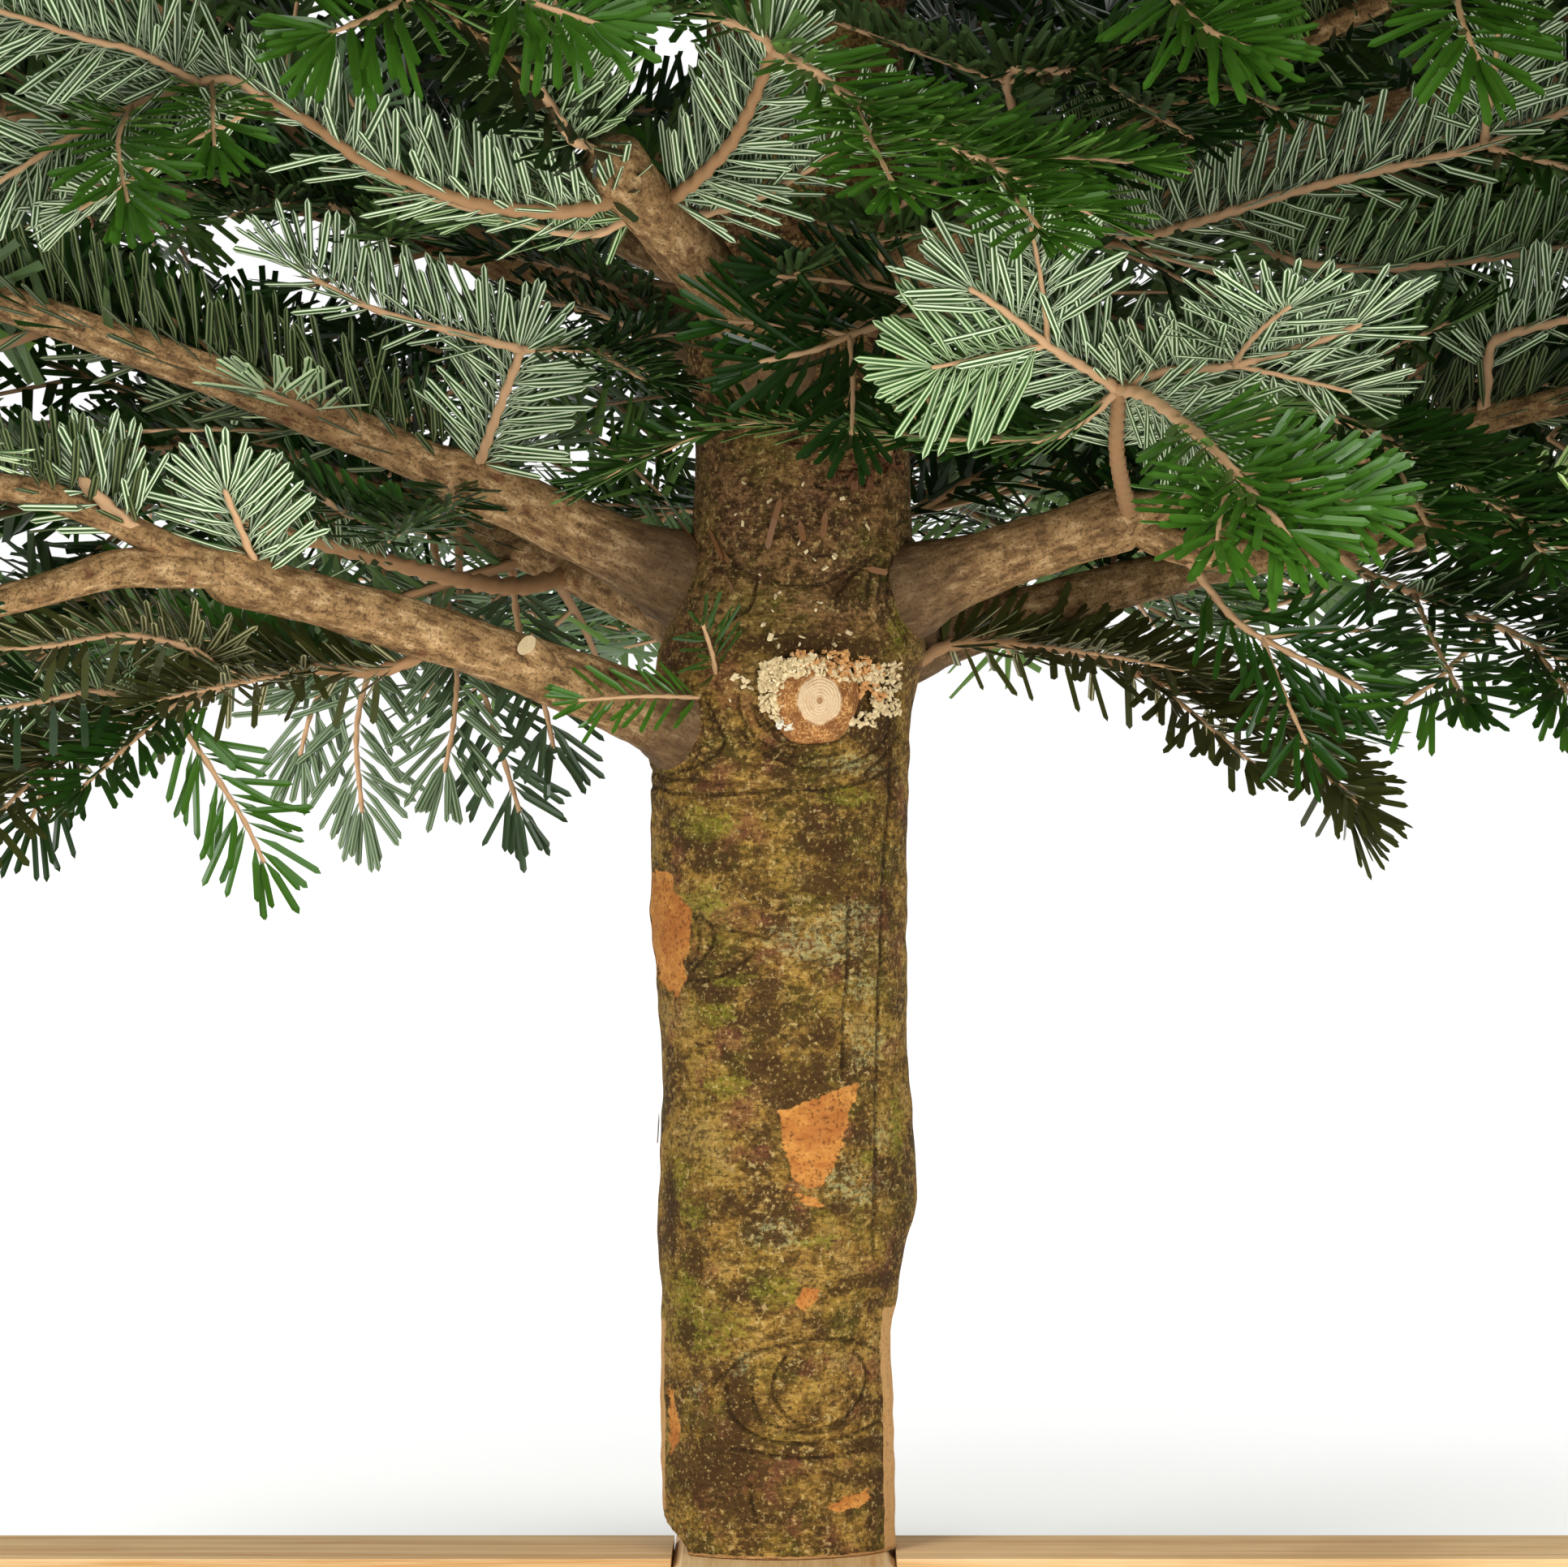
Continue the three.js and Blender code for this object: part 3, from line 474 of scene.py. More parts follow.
# Shoots between the main ones and close to the trunk: pitch, first place and lengths
FILL_PITCH = (32.0, 25.0, 42.0, 46.0, 50.0, 48.0, 42.0, 36.0)
FILL_FIRST, FILL_FIRST_LOWEST, FILL_LENGTHS = 26.0, 100.0, (0.5, 0.8)
FILL_LIFT, FILL_SHORTEST = (-34, 38), 30.0
FILL_TRIMS = (1, 0.75, 0.55, 0.4, 0.28)
# The last place as a share of the reach, the least spread, and the jitter along the limb
FILL_LAST, FILL_SPREAD, FILL_JITTER = 0.94, 30.0, 12.0


def filling_shoots(limb):
    """Shoots in between the main ones, turned more up and down, wherever there's room."""
    dice = Dice(WHORLS[limb.whorl][6] * 17 + LETTERS.index(limb.name) * 211)
    first = FILL_FIRST_LOWEST if limb.whorl == 0 else float(trunk_radius(limb.height)) + FILL_FIRST
    made = []
    for radius in np.arange(first, limb.reach * FILL_LAST, FILL_PITCH[limb.whorl]):
        for hand in (-1, 1):
            angle = math.radians(dice.between(*SHOOT_ANGLE))
            lifted = math.radians(dice.between(*FILL_LIFT))
            roll = math.radians(dice.between(*SHOOT_ROLL))
            room = SHOOT_REACH * (limb.reach - radius) + SHOOT_SPARE
            length = min(SHOOT_SPREAD * radius + FILL_SPREAD, room) * dice.between(*FILL_LENGTHS)
            place = radius + FILL_JITTER * dice.next()
            root, along, direction, across = aimed(limb, place, hand, angle, lifted, roll)
            for trim in FILL_TRIMS:
                line = shoot_line(root, direction, along, length * trim)
                if length * trim > FILL_SHORTEST and in_space(limb, line[2:]):
                    made.append((line, np.cross(across, direction)))
                    break
    return made


# Side twigs on shoots, then twigs on those: pitch on the low whorls and on the others,
# spread as a share of the length that's left, and the most length
SIDE_TWIG_LEVELS = ((44, 56, 0.46, 150), (46, 60, 0.42, 70))
SIDE_TWIG_START, SIDE_TWIG_RUN = 0.14, 0.74
SIDE_TWIG_SPARE, SIDE_TWIG_LENGTHS = 26, (0.84, 1.1)
SIDE_TWIG_ANGLE, SIDE_TWIG_LIFT, SIDE_TWIG_ROLL = (41, 55), (-0.16, 0.2), (-0.3, 0.3)
SIDE_TWIG_TRIMS = (1, 0.74, 0.52)
SIDE_TWIG_SHORTEST, SHORTEST_PARENT = 26.0, 80
# A side twig's radius at its root by that of its parent's tip, and at its own tip
SIDE_TWIG_THICK, SIDE_TWIG_LEAST, SIDE_TWIG_TIP, SIDE_TWIG_BARE = 0.75, 0.35, 0.75, 0.03
# Tints of needles, and how many shoots are deep, how many deep or green, and how many
# more side twigs at each level are fresh
DEEP, GREEN, FRESH, GREY, BROWN, DRY, DEEP_IN_SHADE, MIST = range(8)
DEEP_SHARE, DEEP_OR_GREEN, FRESH_SHARE = 0.4, 0.78, 0.13
# Radii of a shoot, its share without needles, and where a limb's own radius is taken
SHOOT_THICK, SHOOT_TIP_THICK, SHOOT_BARE, TIP_THICK_AT = 2.6, 1.0, 0.06, 0.7
# Needles on the limbs themselves: from where at least, to which share, and how far out
LIMB_NEEDLES_FROM, LIMB_NEEDLES_TO, LIMB_NEEDLES_OUT, LIMB_POINTS = 60, 0.7, 1.7, 14


def side_twigs(parent, dice, limb, level):
    """Twigs in pairs along a twig, shorter towards its tip."""
    made = []
    low_pitch, pitch, spread, most = SIDE_TWIG_LEVELS[level]
    count = int(parent.length * SIDE_TWIG_RUN / (low_pitch if limb.whorl < len(BOUGHS) else pitch))
    for i in range(count):
        share = SIDE_TWIG_START + SIDE_TWIG_RUN * (i + 0.5) / count
        for hand in (-1, 1):
            length = min(most, spread * (1 - share) * parent.length + SIDE_TWIG_SPARE)
            length = length * dice.between(*SIDE_TWIG_LENGTHS)
            angle = math.radians(dice.between(*SIDE_TWIG_ANGLE))
            lift = dice.between(*SIDE_TWIG_LIFT)
            roll = dice.between(*SIDE_TWIG_ROLL)
            root, along = (value[0] for value in parent.at(share))
            across = unit(np.cross(along, parent.up))
            flat = along * math.cos(angle) + across * hand * math.sin(angle)
            direction = unit(flat + parent.up * lift)
            for trim in SIDE_TWIG_TRIMS:
                line = shoot_line(root, direction, along, length * trim)
                if length * trim > SIDE_TWIG_SHORTEST and in_space(limb, line[3::5]):
                    up = unit(parent.up + roll * across)
                    fresh = dice.next() < FRESH_SHARE * (level + 1)
                    tint = FRESH if fresh else parent.tint
                    thick = SIDE_TWIG_THICK * parent.thick[1] + SIDE_TWIG_LEAST
                    made.append(Twig(line, up, (thick, SIDE_TWIG_TIP), tint, SIDE_TWIG_BARE))
                    break
    return made


def grown_twigs(limb):
    """Every twig of a limb: shoots, their side twigs, and twigs on those."""
    dice = Dice(WHORLS[limb.whorl][6] * 11 + LETTERS.index(limb.name) * 173)
    made = []
    shoots = filling_shoots(limb) + main_shoots(limb)
    for i, (line, up) in enumerate(shoots):
        tip = i == len(shoots) - 1
        mood = dice.next()
        tint = DEEP if mood < DEEP_SHARE else GREEN if mood < DEEP_OR_GREEN else GREY
        thick = float(limb.thickness(limb.reach * TIP_THICK_AT)) if tip else SHOOT_THICK
        shoot = Twig(line, up, (thick, SHOOT_TIP_THICK), tint, 0.0 if tip else SHOOT_BARE)
        made.append(shoot)
        sides = side_twigs(shoot, dice, limb, 0)
        made += sides
        for twig in sides:
            if twig.length > SHORTEST_PARENT:
                made += side_twigs(twig, dice, limb, 1)
    ends = (max(limb.bare, LIMB_NEEDLES_FROM), limb.reach * LIMB_NEEDLES_TO)
    line = limb.point(np.linspace(*ends, LIMB_POINTS))
    thick = [float(limb.thickness(place)) * LIMB_NEEDLES_OUT for place in ends]
    up = limb.frame(limb.reach / 2)[3]
    made.append(Twig(line, up, thick, DEEP, style="raised", wood=False))
    return made


# Needles
# Rows of needles on each side of a twig: elevation above the comb's plane, angle
# from the twig, share of the full length, and how many
NEEDLE_ROWS = {
    "flat": [(2, 68, 1.0, 1.0), (15, 62, 0.96, 1.0), (33, 56, 0.84, 1.0), (56, 46, 0.66, 0.6)],
    "raised": [
        (-24, 50, 0.85, 0.35), (0, 58, 0.8, 0.5), (26, 72, 0.95, 0.8), (46, 68, 1.0, 1.0),
        (62, 63, 0.95, 1.0), (78, 58, 0.8, 0.7),
    ],
    "shaggy": [
        (-58, 76, 0.75, 0.35), (8, 66, 1.0, 0.8), (34, 60, 0.95, 1.0), (60, 52, 0.85, 0.9),
    ],
    "brush": [(elevation, 58, 0.8, 0.5) for elevation in range(-70, 100, 20)],
    "loose": [(-14, 50, 0.9, 0.4), (2, 50, 1.0, 1.0), (20, 44, 0.92, 0.6)],
}
# A loose shoot: its share of the needles, of their width, and the needles at its tip
LOOSE_SHARE, LOOSE_WIDTH, LOOSE_FAN = 0.42, 0.86, 4
# Other tips: their needles, at which share of the length, lift, jitter and lengths
TIP_FAN, TIP_AT, TIP_LIFT, TIP_JITTER, TIP_LENGTHS = 7, 0.995, (14, 34), 0.12, (0.6, 0.85)
# Towards a tip needles turn forward by some degrees and are shorter, as they are at a root
FAN_FROM, FAN_TURN, FAN_SHORTER = 0.8, 26, 0.2
ROOT_LENGTH, ROOT_GAIN, ROOT_RUN = 0.72, 0.28, 0.14
# Jitter of the place in a row, of angles in degrees, of lengths, widths and of the turn
PLACE_JITTER, ANGLE_JITTER, TURN_JITTER = 0.32, 5, 0.22
LENGTH_JITTER, WIDTH_JITTER = (0.86, 1.06), (0.9, 1.1)
# Bend of a needle up and ahead, each a mean and a spread; where its root is in the bark
BEND_UP, BEND_AHEAD, ROOT_DEPTH = (0.02, 0.05), (0.08, 0.09), 0.6


class NeedleBed:
    """Needles gathered for one piece: roots, directions, upper sides and sizes."""

    def __init__(self):
        self.parts = {detail: [] for detail in range(4)}

    def add(self, detail, root, axis, normal, bend, length, width, tint):
        columns = [root, axis, normal, bend, length[:, None], width[:, None], tint[:, None]]
        self.parts[detail].append(np.concatenate(columns, axis=1))

    def dress(self, twig, density, rng, sizes):
        """Needles on one twig, in rows on both sides, and a fan at its tip."""
        rows = NEEDLE_ROWS[twig.style]
        total = sum(row[3] for row in rows)
        fan_size = TIP_FAN
        if twig.style == "loose":
            density, fan_size = density * LOOSE_SHARE, LOOSE_FAN
            sizes = (sizes[0], sizes[1] * LOOSE_WIDTH)
        run = twig.length * (1 - twig.bare)
        for elevation, angle, share_of_length, many in rows:
            count = int(run * density * many / total / 2 + rng.random())
            if count == 0:
                continue
            for hand in (-1, 1):
                jitter = rng.uniform(-PLACE_JITTER, PLACE_JITTER, count)
                share = (np.arange(count) + 0.5 + jitter) / count
                fan = smooth_step(share, FAN_FROM, 1.0)
                forward = np.radians(angle + rng.normal(0, ANGLE_JITTER, count) - fan * FAN_TURN)
                raised = np.radians(elevation + rng.normal(0, ANGLE_JITTER, count))
                ripe = ROOT_LENGTH + ROOT_GAIN * smooth_step(share, 0, ROOT_RUN) - FAN_SHORTER * fan
                length = share_of_length * ripe * rng.uniform(*LENGTH_JITTER, count)
                place = twig.bare + share * (1 - twig.bare)
                self._lay(twig, place, hand, forward, raised, length, rng, sizes)
        turn = np.linspace(0, math.pi, fan_size) + rng.normal(0, TIP_JITTER, fan_size)
        lift = np.radians(rng.uniform(*TIP_LIFT, fan_size))
        place = np.full(fan_size, TIP_AT)
        self._lay(twig, place, 1, lift, turn, rng.uniform(*TIP_LENGTHS, fan_size), rng, sizes)

    def _lay(self, twig, share, hand, forward, raised, length, rng, sizes):
        count = len(share)
        place, along = twig.at(share)
        up = upright(twig.up, along)
        across = np.cross(along, up) * hand
        out = across * np.cos(raised)[:, None] + up * np.sin(raised)[:, None]
        axis = along * np.cos(forward)[:, None] + out * np.sin(forward)[:, None]
        normal = upright(unit(out + along) if twig.style == "brush" else up, axis)
        wide = np.cross(axis, normal)
        turn = rng.normal(0, TURN_JITTER, count)[:, None]
        normal = normal * np.cos(turn) + wide * np.sin(turn)
        thick = twig.thick[0] + (twig.thick[1] - twig.thick[0]) * share
        root = place + out * (ROOT_DEPTH * thick)[:, None]
        length = length * sizes[0] * twig.size
        width = sizes[1] * min(1.0, twig.size) * rng.uniform(*WIDTH_JITTER, count)
        bend = normal * rng.normal(*BEND_UP, (count, 1))
        bend = bend + upright(along, axis) * rng.normal(*BEND_AHEAD, (count, 1))
        tint = np.full(count, float(twig.tint))
        self.add(twig.detail, root, axis, normal, bend, length, width, tint)


FACE_TOP, FACE_BAND, FACE_RIB, FACE_UNDER = range(4)
# Section of a needle around its rings, and what each side shows: the upper side, then
# below it the two pale bands beside the midrib, and on a close needle its green margins.
# A needle that shows its upper side only has a groove there instead
NEAR_SECTION = [(-0.5, 0.0), (0.5, 0.0), (0.16, -0.17), (-0.16, -0.17)]
NEAR_SIDES = [FACE_TOP, FACE_BAND, FACE_RIB, FACE_BAND]
GREEN_SECTION = [(-0.5, 0.0), (0.0, -0.13), (0.5, 0.0), (0.0, -0.26)]
GREEN_SIDES = [FACE_TOP, FACE_TOP, FACE_UNDER, FACE_UNDER]
CLOSE_SECTION = [
    (-0.5, 0.0), (0.5, 0.0), (0.37, -0.1), (0.16, -0.16), (-0.16, -0.16), (-0.37, -0.1),
]
CLOSE_SIDES = [FACE_TOP, FACE_RIB, FACE_BAND, FACE_RIB, FACE_BAND, FACE_RIB]
NEEDLE_LOOKS = {
    1: (NEAR_SECTION, NEAR_SIDES),
    2: (CLOSE_SECTION, CLOSE_SIDES),
    3: (GREEN_SECTION, GREEN_SIDES),
}
# Rings of a needle: share of the length, share of the width
NEEDLE_RINGS = [(0.3, 0.96), (0.93, 0.93)]
# A far needle: turn of its tip, and half its breadth at the root and at the tip
FAR_TWIST, FAR_ROOT, FAR_TIP = 0.5, 0.42, 0.36


def far_needles(rows):
    """Four-faced needles: a blunt blade whose tip is turned a little."""
    root, axis, normal = rows[:, 0:3], rows[:, 3:6], rows[:, 6:9]
    length, width = rows[:, 12:13], rows[:, 13:14]
    wide = np.cross(axis, normal)
    turned = wide * math.cos(FAR_TWIST) + normal * math.sin(FAR_TWIST)
    tip = root + axis * length
    corners = [root - wide * width * FAR_ROOT, root + wide * width * FAR_ROOT]
    corners += [tip - turned * width * FAR_TIP, tip + turned * width * FAR_TIP]
    faces = [(0, 1, 3), (0, 3, 2), (1, 0, 2), (1, 2, 3)]
    kinds = [FACE_TOP, FACE_TOP, FACE_UNDER, FACE_UNDER]
    return np.stack(corners, axis=1), np.array(faces), np.array(kinds)


def ringed_needles(rows, section, sides):
    """Needles with a flat green top and two pale bands beside a midrib below."""
    root, axis, normal, bend = rows[:, 0:3], rows[:, 3:6], rows[:, 6:9], rows[:, 9:12]
    length, width = rows[:, 12:13], rows[:, 13:14]
    wide = np.cross(axis, normal)
    corners = [root]
    for share, share_of_width in NEEDLE_RINGS:
        middle = root + (axis + bend * share) * length * share
        for sideways, down in section:
            corners.append(middle + (wide * sideways + normal * down) * width * share_of_width)
    corners.append(root + (axis + bend) * length)
    around = len(section)
    first, last = 1, 1 + around
    faces = []
    for side in range(around):
        here, after = side, (side + 1) % around
        faces.append((0, first + after, first + here))
        faces.append((first + here, first + after, last + after))
        faces.append((first + here, last + after, last + here))
        faces.append((last + here, last + after, last + around))
    return np.stack(corners, axis=1), np.array(faces), np.repeat(sides, 4)


def needle_arrays(bed):
    """Corners, triangles and material numbers of every needle of a bed."""
    places, triangles, numbers = [], [], []
    start = 0
    for detail, parts in bed.parts.items():
        if not parts:
            continue
        rows = np.concatenate(parts)
        if detail == 0:
            corners, faces, kinds = far_needles(rows)
        else:
            corners, faces, kinds = ringed_needles(rows, *NEEDLE_LOOKS[detail])
        many, each = corners.shape[0], corners.shape[1]
        offsets = start + each * np.arange(many)
        triangles.append((faces[None] + offsets[:, None, None]).reshape(-1, 3))
        numbers.append((rows[:, 14].astype(int)[:, None] * 4 + kinds[None]).ravel())
        places.append(corners.reshape(-1, 3))
        start += many * each
    return np.concatenate(places), np.concatenate(triangles), np.concatenate(numbers)


# Sides of a twig and the pitch of its rings, by detail
TWIG_SIDES, TWIG_PITCH = (3, 4, 6, 6), (26, 14, 2.6, 2.6)
TWIG_TAPER = 0.8
# Scars of old needles on close twigs: height as a share, and turn from ring to ring and side
KNOB, KNOB_BY_RING, KNOB_BY_SIDE = 0.24, 2.4, 1.9
OLD_TWIG = 2.2


def twig_arrays(twigs):
    """Corners, triangles and material numbers of twigs as slim closed tubes."""
    places, triangles, numbers = [], [], []
    start = 0
    for twig in twigs:
        if not twig.wood:
            continue
        sides = TWIG_SIDES[twig.detail]
        rings = max(3, int(twig.length / TWIG_PITCH[twig.detail]))
        share = np.linspace(0, 1, rings)
        place, along = twig.at(share)
        up = upright(twig.up, along)
        across = np.cross(along, up)
        size = twig.thick[0] + (twig.thick[1] - twig.thick[0]) * share ** TWIG_TAPER
        turn = (np.arange(sides) * 2 * math.pi / sides)[None, :, None]
        rim = across[:, None] * np.sin(turn) + up[:, None] * np.cos(turn)
        size = np.tile(size[:, None], sides)
        if twig.detail >= 2:
            turn = np.arange(rings)[:, None] * KNOB_BY_RING + np.arange(sides)[None] * KNOB_BY_SIDE
            size = size * (1 + KNOB * np.cos(turn))
        ring_places = place[:, None] + rim * size[:, :, None]
        ends = np.stack([place[0], place[-1] + along[-1] * twig.thick[1]])
        places += [ring_places.reshape(-1, 3), ends]
        first, last = start + rings * sides, start + rings * sides + 1
        ring = np.arange(rings - 1)[:, None] * sides
        here = np.arange(sides)[None]
        after = (here + 1) % sides
        a, b = start + ring + here, start + ring + after
        c, d = a + sides, b + sides
        for corners in ((a, c, b), (b, c, d)):
            triangles.append(np.stack(corners, axis=-1).reshape(-1, 3))
        top = start + (rings - 1) * sides
        here, after = here[0], after[0]
        triangles.append(np.stack([np.full(sides, first), start + here, start + after], axis=-1))
        triangles.append(np.stack([np.full(sides, last), top + after, top + here], axis=-1))
        many = 2 * (rings - 1) * sides + 2 * sides
        numbers.append(np.full(many, 0 if twig.thick[0] < OLD_TWIG else 1))
        start += rings * sides + 2
    return np.concatenate(places), np.concatenate(triangles), np.concatenate(numbers)


# Which way the upper sides of a shoot's needles face
FACING = {
    "green": (0.1, -1, 0.35),
    "pale": (0.1, 1, 0.25),
    "comb": (0, 0.35, 1),
    "level": (0, -0.4, 0.95),
}
